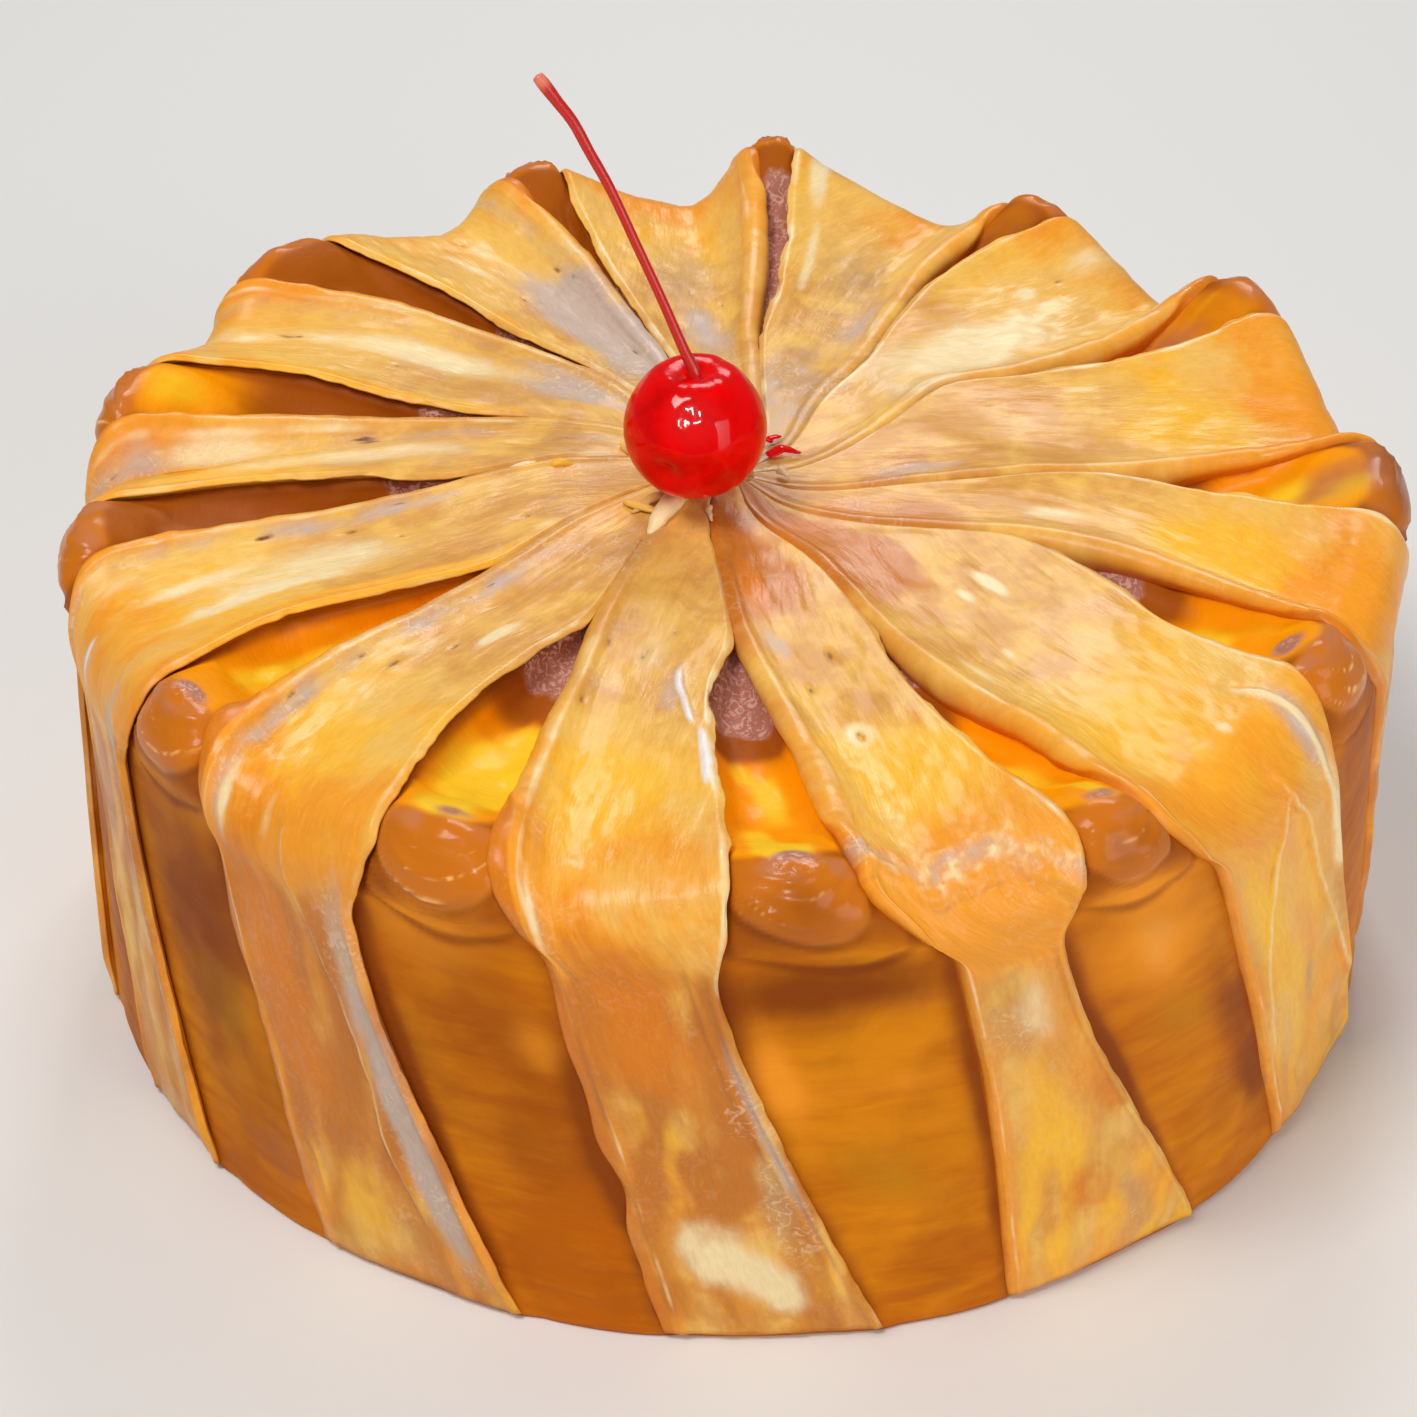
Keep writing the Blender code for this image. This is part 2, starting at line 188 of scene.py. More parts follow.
STYLES = (
    BandStyle(
        warm=0.9, grey=0.35, fan=0.6, drape=0.9, touches=(
            Touch(Tone.PALE, 70, 0.10, 4, 1.2, 0.8), Touch(Tone.LILAC, 30, 0.2, 12, 3, 0.7),
            Touch(Tone.GOLD, 78, 0.5, 16, 6, 0.7), Touch(Tone.WARM, 100, 0.5, 8, 9, 0.8),
        )),
    BandStyle(
        warm=0.7, grey=0.7, touches=(
            Touch(Tone.PALE, 85, 0.7, 2.0, 1.3, 1.0), Touch(Tone.PALE, 78, 0.55, 1.5, 1.0, 0.8),
            Touch(Tone.PALE, 100, 0.75, 6, 3, 0.6), Touch(Tone.PALE, 62, 0.5, 30, 9, 0.80),
        ), pits=(Pit(90, 0.62), Pit(92, 0.7, 1.0, 0.6))),
    BandStyle(
        warm=0.35, grey=1.4, lilac=0.9, streaked=0.4, golden=0.4, touches=(
            Touch(Tone.GREY, 74, 0.5, 20, 9, 0.8),
            Touch(Tone.PALE, 98, 0.9, 9, 2.0, 0.9), Touch(Tone.PALE, 75, 0.86, 12, 1.3, 0.8),
            Touch(Tone.WARM, 96, 0.45, 9, 8, 0.6), Touch(Tone.LILAC, 58, 0.25, 14, 5, 0.6),
        )),
    BandStyle(
        warm=0.75, grey=1.2, streaked=0.5, touches=(
            Touch(Tone.LILAC, 52, 0.5, 14, 5, 0.9),
            Touch(Tone.GREY, 72, 0.5, 20, 9, 0.8), Touch(Tone.WARM, 98, 0.6, 6, 10, 0.6)),
        pits=(Pit(61, 0.24), Pit(66, 0.5, 1.0), Pit(52, 0.7, 1.2))),
    BandStyle(
        warm=0.5, grey=1.2, lilac=1.0, streaked=0.9, golden=0.6, touches=(
            Touch(Tone.LILAC, 66, 0.35, 20, 7, 1.3), Touch(Tone.LILAC, 46, 0.3, 16, 5, 1.2),
            Touch(Tone.PALE, 86, 0.6, 10, 2, 0.6),
        ), pits=(Pit(97, 0.4), Pit(80, 0.14, 3.0, 0.7), Pit(46, 0.2, 2.0), Pit(72, 0.6, 1.2))),
    BandStyle(
        warm=0.55, grey=0.7, lilac=0.5, streaked=0.6, golden=1.0, touches=(
            Touch(Tone.PALE, 70, 0.35, 24, 5, 0.9), Touch(Tone.LILAC, 40, 0.4, 14, 5, 0.9),
            Touch(Tone.PALE, 100, 0.4, 6, 5, 0.4),
        ), pits=(Pit(92, 0.34, 3.2, 0.7, 0.2), Pit(70, 0.6, 1.0))),
    BandStyle(
        warm=0.55, grey=0.9, streaked=0.8, golden=0.5, touches=(
            Touch(Tone.PALE, 88, 0.15, 8, 1.6, 0.9), Touch(Tone.BROWN, 34, 0.5, 12, 1.6, 0.3),
            Touch(Tone.GOLD, 92, 0.6, 8, 4, 0.6), Touch(Tone.PALE, 64, 0.5, 24, 5, 0.7),
        ), pits=(Pit(60, 0.4, 1.2),)),
    BandStyle(
        warm=0.75, grey=0.8, streaked=1.0, golden=1.1, touches=(
            Touch(Tone.PALE, 101, 0.16, 4, 2, 0.5), Touch(Tone.PALE, 72, 0.5, 22, 7, 0.7),
            # the second touch on the next line is a painted highlight
            Touch(Tone.PALE, 84, 0.68, 14, 1.8, 0.8), Touch(Tone.WHITE, 108, 0.35, 3.0, 1.0, 0.9),
            Touch(Tone.GOLD, 94, 0.55, 9, 7, 0.9),
            Touch(Tone.LILAC, 112, 0.8, 9, 2.2, 1.0), Touch(Tone.PALE, 92, 0.34, 9, 2, 0.6),
            Touch(Tone.GOLD, 84, 0.6, 10, 4, 0.8), Touch(Tone.GREY, 128, 0.8, 26, 4, 0.9),
            Touch(Tone.GOLD, 140, 0.3, 20, 4, 0.6),
        ), folds=(Fold(((110, 0.9), (125, 0.86), (150, 0.84), (174, 0.86)), 0.5, 0.6, False, Tone.LILAC),),
        pits=(Pit(78, 0.10, 2.2, 0.7), Pit(36, 0.72, 1.6), Pit(56, 0.4, 1.0), Pit(64, 0.2, 1.4))),
    BandStyle(
        warm=0.9, grey=0.7, side_grey=0.35, side_gold=0.5, drape=2.4, streaked=0.9, golden=0.3, touches=(
            Touch(Tone.PALE, 58, 0.66, 4.5, 1.4, 1.1), Touch(Tone.PALE, 66, 0.35, 6, 1.6, 0.5),
            Touch(Tone.PALE, 106, 0.40, 4, 1.2, 0.4), Touch(Tone.PALE, 107, 0.12, 5, 1.2, 0.7),
            Touch(Tone.CARAMEL, 130, 0.25, 26, 7, 1.0), Touch(Tone.LILAC, 134, 0.9, 26, 3.2, 1.1),
            Touch(Tone.LILAC, 160, 0.86, 16, 3.0, 1.0), Touch(Tone.GOLD, 164, 0.36, 11, 5.0, 1.2),
            Touch(Tone.GREY, 172, 0.62, 6, 4.0, 0.6), Touch(Tone.TOFFEE, 150, 0.4, 14, 7, 0.5),
            Touch(Tone.GOLD, 98, 0.5, 9, 9, 0.8),
        ), folds=(
            Fold(((106, 0.5), (116, 0.62), (128, 0.74), (143, 0.74), (152, 0.66), (168, 0.72)),
                 0.8, 0.6, True),
            Fold(((152, 0.62), (155, 0.3), (160, 0.12), (172, 0.10)), 0.5, 0.6, False, Tone.GOLD),
        ), pits=(Pit(76, 0.10, 1.8), Pit(73, 0.30, 2.6, 0.6), Pit(52, 0.32, 2.2, 0.6), Pit(64, 0.5, 1.0))),
    BandStyle(
        warm=0.75, grey=0.8, lilac=0.4, side_grey=0.1, side_gold=0.9, drape=2.6, toffee=1.25,
        streaked=0.5, touches=(
            Touch(Tone.GOLD, 84, 0.35, 13, 8, 1.0), Touch(Tone.LILAC, 60, 0.75, 9, 3, 0.8),
            Touch(Tone.PALE, 50, 0.5, 12, 5, 0.5), Touch(Tone.LILAC, 140, 0.95, 26, 1.4, 0.9),
            Touch(Tone.PALE, 108, 0.06, 6, 0.9, 0.6),
            Touch(Tone.CARAMEL, 120, 0.40, 15, 9, 0.95), Touch(Tone.GREY, 132, 0.86, 20, 2.5, 0.8),
            Touch(Tone.GREY, 158, 0.8, 14, 4, 0.7), Touch(Tone.GOLD, 148, 0.3, 16, 4, 1.0),
            Touch(Tone.PALE, 164, 0.36, 7, 6, 1.0), Touch(Tone.PALE, 171, 0.62, 6, 4, 0.9),
        ), folds=(
            # the next two folds are painted highlight strokes along the second edge
            Fold(((56, 0.76), (62, 0.83), (69, 0.9)), 0.5, 0.7, False, Tone.WHITE),
            Fold(((70, 0.95), (76, 0.97), (84, 0.96)), 0.4, 0.9, False, Tone.WHITE),
            Fold(((112, 0.84), (126, 0.87), (144, 0.90), (172, 0.92)), 0.4, 0.5, False, Tone.GOLD),
        ),
        tears=(Tear(((0.0, 107.0), (0.2, 109.5), (0.5, 110.5), (0.8, 108.5), (1.0, 106.0)),
                    0.35, 6.0, 0.8),),
        pits=(Pit(66, 0.08, 1.2, 0.6), Pit(52, 0.10, 1.2, 0.6), Pit(52, 0.42, 1.6, 0.6),
              Pit(46, 0.6, 1.2, 0.6))),
    BandStyle(
        warm=0.8, grey=0.5, lilac=0.1, side_grey=0.25, side_gold=1.0, drape=0.8, fan=1.2,
        toffee=0.2, touches=(
            Touch(Tone.CARAMEL, 34, 0.22, 9, 2.5, 1.0), Touch(Tone.TOFFEE, 30, 0.5, 11, 6, 0.8),
            Touch(Tone.LILAC, 49, 0.22, 6, 2.5, 0.8), Touch(Tone.PALE, 124, 0.6, 9, 5, 0.5),
            Touch(Tone.WARM, 112, 0.4, 5, 9, 0.9),
            Touch(Tone.GOLD, 84, 0.5, 12, 9, 1.0), Touch(Tone.LILAC, 104, 0.75, 4, 6, 0.5),
            Touch(Tone.GREY, 122, 0.5, 14, 7, 0.45), Touch(Tone.GOLD, 146, 0.4, 12, 5, 1.0),
            Touch(Tone.CARAMEL, 166, 0.45, 10, 9, 0.6),
            Touch(Tone.GREY, 168, 0.75, 10, 4, 0.7), Touch(Tone.CARAMEL, 146, 0.9, 10, 3, 0.6),
        ),
        tears=(Tear(((0.0, 103.5), (0.24, 105.0), (0.48, 104.0), (0.66, 104.2), (0.84, 107.0), (1.0, 109.5)),
                    1.3, 9.0, 1.5),),
        pits=(Pit(72, 0.46, 1.5, 0.9, 1.0), Pit(53, 0.60, 1.4, 0.6), Pit(60, 0.3, 1.0))),
    BandStyle(
        warm=0.75, grey=0.35, side_grey=0.15, side_gold=1.0, drape=1.0, fan=1.2, toffee=0.0,
        lilac=0.1, touches=(
            Touch(Tone.TOFFEE, 28, 0.45, 13, 5, 1.1), Touch(Tone.PALE, 51, 0.62, 4, 1.4, 1.1),
            Touch(Tone.GOLD, 120, 0.45, 20, 12, 1.1), Touch(Tone.GOLD, 90, 0.3, 12, 9, 0.8),
            Touch(Tone.PALE, 50, 0.46, 2.5, 1.2, 0.8), Touch(Tone.PALE, 66, 0.12, 5, 1.2, 0.9),
            Touch(Tone.PALE, 64, 0.34, 2, 1.2, 0.7), Touch(Tone.PALE, 99, 0.62, 1.8, 1.2, 0.9),
            Touch(Tone.LILAC, 106, 0.86, 9, 3.5, 0.9), Touch(Tone.GOLD, 142, 0.45, 24, 7, 1.2),
            Touch(Tone.GREY, 150, 0.55, 9, 2.5, 0.7), Touch(Tone.PALE, 120, 0.95, 12, 1.5, 0.7),
        ), folds=(
            Fold(((108, 0.62), (114, 0.66), (122, 0.72), (134, 0.80), (150, 0.92), (160, 0.97)),
                 1.1, 0.8, True),
            Fold(((110, 0.64), (118, 0.42), (128, 0.25), (140, 0.12), (160, 0.05)), 0.6, 0.8, True),
            Fold(((96, 0.80), (106, 0.88), (118, 0.93), (130, 0.96)), 0.7, 0.7, False, Tone.PALE),
        )),
    BandStyle(
        warm=0.9, grey=0.3, drape=1.0, fan=0.8, touches=(
            Touch(Tone.WARM, 22, 0.35, 9, 2.2, 1.0),
            Touch(Tone.GOLD, 78, 0.5, 14, 7, 0.9), Touch(Tone.PALE, 54, 0.45, 9, 2, 0.6),
            Touch(Tone.WARM, 100, 0.5, 8, 9, 0.8), Touch(Tone.LILAC, 24, 0.4, 8, 2, 0.6),
        )),
)


def ease(span: tuple, value: np.ndarray) -> np.ndarray:
    """Rises smoothly from 0 at the span's start to 1 at its end.

    Args:
        span: start and end, in the value's unit.
        value: where it is read.

    Returns:
        Shares from 0 to 1.
    """
    share = np.clip((np.asarray(value, float) - span[0]) / (span[1] - span[0]), 0.0, 1.0)
    return share * share * (3.0 - 2.0 * share)


def fall(span: tuple, value: np.ndarray) -> np.ndarray:
    """Falls smoothly from 1 at the span's start to 0 at its end."""
    return 1 - ease(span, value)


def held(value: np.ndarray) -> np.ndarray:
    """Returns the value held between 0 and 1."""
    return np.clip(value, 0, 1)


def spot_at(x: np.ndarray, y: np.ndarray, width: float, length: float) -> np.ndarray:
    """Returns a soft spot of height 1 about the place where x and y are 0."""
    return np.exp(-((x / width) ** 2) - (y / length) ** 2)


def bell(value: np.ndarray, middle: float, width: float) -> np.ndarray:
    """Returns a bell curve of height 1 about the middle."""
    return np.exp(-(((np.asarray(value, float) - middle) / width) ** 2))


def smooth_curve(keys: tuple, values: list, at: np.ndarray) -> np.ndarray:
    """Reads a cubic curve through the values at the keys, held at both ends.

    Args:
        keys: rising places of the values.
        values: the values there.
        at: where the curve is read.

    Returns:
        The curve's values.
    """
    keys = np.asarray(keys, float)
    values = np.asarray(values, float)
    number = np.arange(len(keys))
    before = np.maximum(number - 1, 0)
    after = np.minimum(number + 1, len(keys) - 1)
    slopes = (values[after] - values[before]) / (keys[after] - keys[before])
    at = np.clip(at, keys[0], keys[-1])
    i = np.clip(np.searchsorted(keys, at, side="right") - 1, 0, len(keys) - 2)
    span = keys[i + 1] - keys[i]
    t = (at - keys[i]) / span
    return ((2 * t**3 - 3 * t**2 + 1) * values[i] + (t**3 - 2 * t**2 + t) * span * slopes[i]
            + (3 * t**2 - 2 * t**3) * values[i + 1] + (t**3 - t**2) * span * slopes[i + 1])


class Wander:
    """Smooth seeded unevenness over two directions, from -1 to 1."""

    def __init__(self, seed: int, size: int = 128) -> None:
        """Draws the table that the unevenness is read from.

        Args:
            seed: the draw's seed.
            size: cells after which it repeats.
        """
        self.size = size
        self.table = np.random.default_rng(seed).uniform(-1.0, 1.0, (size, size))

    def at(self, x: np.ndarray, y: np.ndarray) -> np.ndarray:
        """Reads the unevenness, with one bump to a unit.

        Args:
            x: places in the first direction.
            y: places in the second.

        Returns:
            Values from -1 to 1.
        """
        x, y = np.broadcast_arrays(np.asarray(x, float), np.asarray(y, float))
        i, j = np.floor(x).astype(int), np.floor(y).astype(int)
        u, v = x - i, y - j
        u, v = u * u * (3 - 2 * u), v * v * (3 - 2 * v)
        a, b = i % self.size, (i + 1) % self.size
        c, d = j % self.size, (j + 1) % self.size
        near = self.table[a, c] * (1 - u) + self.table[b, c] * u
        far = self.table[a, d] * (1 - u) + self.table[b, d] * u
        return near * (1 - v) + far * v

    def rough(self, x: np.ndarray, y: np.ndarray, octaves: int = 3) -> np.ndarray:
        """Adds finer and weaker copies of the unevenness.

        Args:
            x: places in the first direction.
            y: places in the second.
            octaves: how many sizes of bump there are.

        Returns:
            Values from about -1 to 1.
        """
        total, weight, fine = 0.0, 1.0, 1.0
        for _ in range(octaves):
            total = total + weight * self.at(np.asarray(x) * fine + 7.3 * fine, np.asarray(y) * fine)
            weight, fine = weight * 0.5, fine * 2.1
        return total / 1.6


@dataclass(frozen=True)
class Undercoat:
    """The form under the cream: a low round cake with pockets that turn about its eye, sizes in mm."""

    top_height: float = 78.4
    dome_rise: float = 5.0
    dome_radius: float = 95.0
    flat_radius: float = 99.5
    corner_radius: float = 8.0
    side_flare: float = 1.6
    lip_bulge: float = 2.8
    pocket_depth: float = 5.5
    panel_swell: float = 0.6
    eye_y: float = 5.4
    rim_radius: float = 105.0
    eye_turn: float = 14.0
    mound_rise: float = 2.4
    mound_spread: float = 8.0
    mound_place: tuple = (-6.5, -5.6)
    crest_power: float = 2.2
    keys: tuple = (10.0, 25.0, 45.0, 60.0, 80.0, 105.0, 117.0, 182.0)
    crease_widths: tuple = (0.9, 1.2, 2.0)
    step: float = 0.25
    tables: dict = field(default_factory=dict)

    def __post_init__(self) -> None:
        """Draws the two edges of each pocket from the eye to the foot."""
        at = np.arange(0.0, 184.0, self.step)
        low, high = [], []
        for pocket in POCKETS:
            middles = (pocket.eye - self.eye_turn, pocket.eye, pocket.crease)
            halves = [math.degrees(w / key) / 2 for w, key in zip(self.crease_widths, self.keys)]
            outer = (pocket.inner, pocket.mid, pocket.rim, pocket.waist, pocket.foot)
            first = [m - h for m, h in zip(middles, halves)] + [pair[0] for pair in outer]
            second = [m + h for m, h in zip(middles, halves)] + [pair[1] for pair in outer]
            low.append(smooth_curve(self.keys, first, at))
            high.append(smooth_curve(self.keys, second, at))
        low.append(low[0] + 360.0)
        high.append(high[0] + 360.0)
        self.tables["low"] = np.array(low)
        self.tables["high"] = np.array(high)
        for name in ("lobe", "trough", "reach"):
            values = [getattr(pocket, name) for pocket in POCKETS]
            self.tables[name] = np.array(values + values[:1])

    def edge(self, name: str, index: np.ndarray, s: np.ndarray) -> np.ndarray:
        """Reads an edge's azimuth.

        Args:
            name: low or high.
            index: number of the pocket.
            s: distance along the profile, mm.

        Returns:
            Azimuths in degrees.
        """
        place = np.clip(s / self.step, 0, self.tables[name].shape[1] - 2)
        i = np.floor(place).astype(int)
        share = place - i
        table = self.tables[name]
        return table[index, i] * (1 - share) + table[index, i + 1] * share

    def profile(self, s: np.ndarray) -> tuple:
        """Finds the plain profile, before any relief.

        Args:
            s: distance from the eye, mm.

        Returns:
            Radius, height and corner angle.
        """
        corner_end = self.flat_radius + self.corner_radius * math.pi / 2
        angle = np.clip((s - self.flat_radius) / self.corner_radius, 0.0, math.pi / 2)
        dome = np.maximum(0.0, 1.0 - (s / self.dome_radius) ** 2) ** 2
        drop = np.maximum(s - corner_end, 0.0)
        radius = np.minimum(s, self.flat_radius) + self.corner_radius * np.sin(angle)
        side = self.top_height - self.corner_radius
        radius = radius + np.where(drop > 0, self.side_flare * drop / side, 0.0)
        height = self.top_height - self.corner_radius * (1 - np.cos(angle)) - drop
        return radius, height + self.dome_rise * dome, angle

    def growth(self, s: np.ndarray) -> np.ndarray:
        """Returns the share of a lobe's full height at distance s."""
        return np.minimum(s / self.rim_radius, 1.0) ** self.crest_power

    def width(self, q: float, s: np.ndarray) -> np.ndarray:
        """Measures the pocket or band that q lies in.

        Args:
            q: place round the cake.
            s: distance along the profile, mm.

        Returns:
            Widths in mm.
        """
        turn = int(math.floor(q))
        index = (turn // 2) % BANDS
        radius = np.maximum(self.profile(s)[0], 1.0)
        low, high = self.edge("low", index, s), self.edge("high", index, s)
        if turn % 2:
            return np.radians(self.edge("low", index + 1, s) - high) * radius
        return np.radians(high - low) * radius

    def skin(self, q: np.ndarray, s: np.ndarray) -> np.ndarray:
        """Finds points of the surface.

        Args:
            q: place round the cake: 2k to 2k + 1 is pocket k, and 2k + 1 to 2k + 2 the band after it.
            s: distance along the profile from the eye, mm.

        Returns:
            Points in mm, with x, y, z last.
        """
        q, s = np.broadcast_arrays(np.asarray(q, float), np.asarray(s, float))
        turn = np.floor(q / 2.0).astype(int)
        index = turn % BANDS
        share = q - 2.0 * turn
        on_band = share >= 1.0
        share = np.where(on_band, share - 1.0, share)
        low, high = self.edge("low", index, s), self.edge("high", index, s)
        following = self.edge("low", index + 1, s)
        azimuth = np.where(on_band, high + (following - high) * share, low + (high - low) * share)
        radius, height, angle = self.profile(s)
        lobe, next_lobe = self.tables["lobe"][index], self.tables["lobe"][index + 1]
        trough = self.tables["trough"][index]
        grown, over_rim = self.growth(s), ease(BULGE_GROWS, s) * fall(BULGE_FADES, s)
        on_side = ease(SIDE_STARTS, s)
        steep = np.maximum(0.0, 1.0 - share / 0.4) ** 2
        gentle = np.maximum(0.0, (share - 0.15) / 0.85) ** 1.6
        hollow = np.maximum(0.0, 1.0 - steep - gentle)
        band_lift = grown * (lobe * steep + next_lobe * gentle + trough * hollow)
        band_bulge = 0.3 * self.lip_bulge * over_rim * np.maximum(steep, gentle)
        band_bulge = band_bulge + 0.8 * on_side * np.maximum(0.0, (share - 0.7) / 0.3)
        across = np.abs(2.0 * share - 1.0)
        middle, arch = 1.0 - across**4, 1.0 - across**2.4
        crease = 0.5 * ease(CREASE_GROWS, s) * fall(CREASE_FADES, s)
        deep = self.pocket_depth * ease(POCKET_DEEPENS, s) * fall(POCKET_CLOSES, s)
        wide = np.radians(high - low) * np.maximum(radius, 1.0)
        depth = np.maximum(np.minimum(deep, 0.75 * wide), crease)
        pocket_lift = lobe * grown + 2.6 * ease(LIP_GROWS, s) * arch - depth * middle
        pocket_bulge = self.lip_bulge * over_rim * (0.3 + 0.7 * arch) + self.panel_swell * on_side * middle
        pocket_bulge = pocket_bulge + 0.8 * on_side * np.maximum(0.0, 1.0 - share / 0.14)
        lift = np.where(on_band, band_lift, pocket_lift)
        lift = lift * fall(LIFT_FADES, s) * (1 - 0.5 * (angle / (math.pi / 2)) ** 2)
        reach, next_reach = self.tables["reach"][index], self.tables["reach"][index + 1]
        reach = over_rim * np.where(on_band, reach + (next_reach - reach) * share, reach)
        radius = radius + reach + np.where(on_band, band_bulge, pocket_bulge)
        eye = self.eye_y * np.maximum(0.0, 1.0 - (radius / self.rim_radius) ** 2)
        turned = np.radians(azimuth)
        x, y = radius * np.cos(turned), radius * np.sin(turned) + eye
        off = np.hypot(x - self.mound_place[0], y - self.mound_place[1])
        mound = self.mound_rise * np.exp(-((off / self.mound_spread) ** 2))
        return np.stack((x, y, height + lift + mound), axis=-1)


def outward(points: np.ndarray) -> np.ndarray:
    """Finds the outward normals of a grid of points whose rows run down from the eye.

    Args:
        points: rows by columns by three.

    Returns:
        Unit normals of the same shape.
    """
    down = np.gradient(points, axis=0)
    across = np.gradient(points, axis=1)
    normal = np.cross(down, across)
    length = np.linalg.norm(normal, axis=-1, keepdims=True)
    return normal / np.maximum(length, 1e-9)


def spaced(*runs: tuple) -> np.ndarray:
    """Joins runs of evenly spaced values.

    Args:
        runs: start, end and number of steps of each run.

    Returns:
        The values, each once.
    """
    parts = [np.linspace(start, end, steps, endpoint=False) for start, end, steps in runs]
    return np.concatenate(parts + [[runs[-1][1]]])


def mapped_mesh(name: str, points: np.ndarray, marks: dict, plan: np.ndarray) -> bpy.types.Object:
    """Adds a grid, puts its points on a shape, closes it and gives it its marks.

    Args:
        name: the piece's name.
        points: rows by columns by three, in mm, the first and last columns alike.
        marks: values by attribute name, rows by columns.
        plan: rows by columns by two, the piece's own map in units of 100 mm.

    Returns:
        The closed piece.
    """
    rows, columns = points.shape[:2]
    bpy.ops.object.select_all(action="DESELECT")
    bpy.ops.mesh.primitive_grid_add(x_subdivisions=columns - 1, y_subdivisions=rows - 1, size=2.0)
    piece = bpy.context.object
    piece.name = name
    mesh = piece.data
    mesh.name = name
    flat = np.empty(len(mesh.vertices) * 3, np.float32)
    mesh.vertices.foreach_get("co", flat)
    flat = flat.reshape(-1, 3)
    column = np.rint((flat[:, 0] + 1) / 2 * (columns - 1)).astype(int)
    row = np.rint((1 - flat[:, 1]) / 2 * (rows - 1)).astype(int)
    mesh.vertices.foreach_set("co", (points[row, column] * MM).astype(np.float32).ravel())
    for mark, values in marks.items():
        layer = mesh.attributes.new(mark, "FLOAT", "POINT")
        layer.data.foreach_set("value", values[row, column].astype(np.float32))
    corners = np.empty(len(mesh.loops), np.int32)
    mesh.loops.foreach_get("vertex_index", corners)
    spots = plan[row[corners], column[corners]].astype(np.float32)
    mesh.uv_layers[0].data.foreach_set("uv", spots.ravel())
    bpy.ops.object.mode_set(mode="EDIT")
    bpy.ops.mesh.select_all(action="SELECT")
    bpy.ops.mesh.remove_doubles(threshold=2e-6)
    bpy.ops.mesh.select_all(action="SELECT")
    bpy.ops.mesh.fill_holes(sides=0)
    bpy.ops.mesh.select_all(action="SELECT")
    bpy.ops.mesh.normals_make_consistent(inside=False)
    bpy.ops.object.mode_set(mode="OBJECT")
    bpy.ops.object.shade_smooth()
    return piece


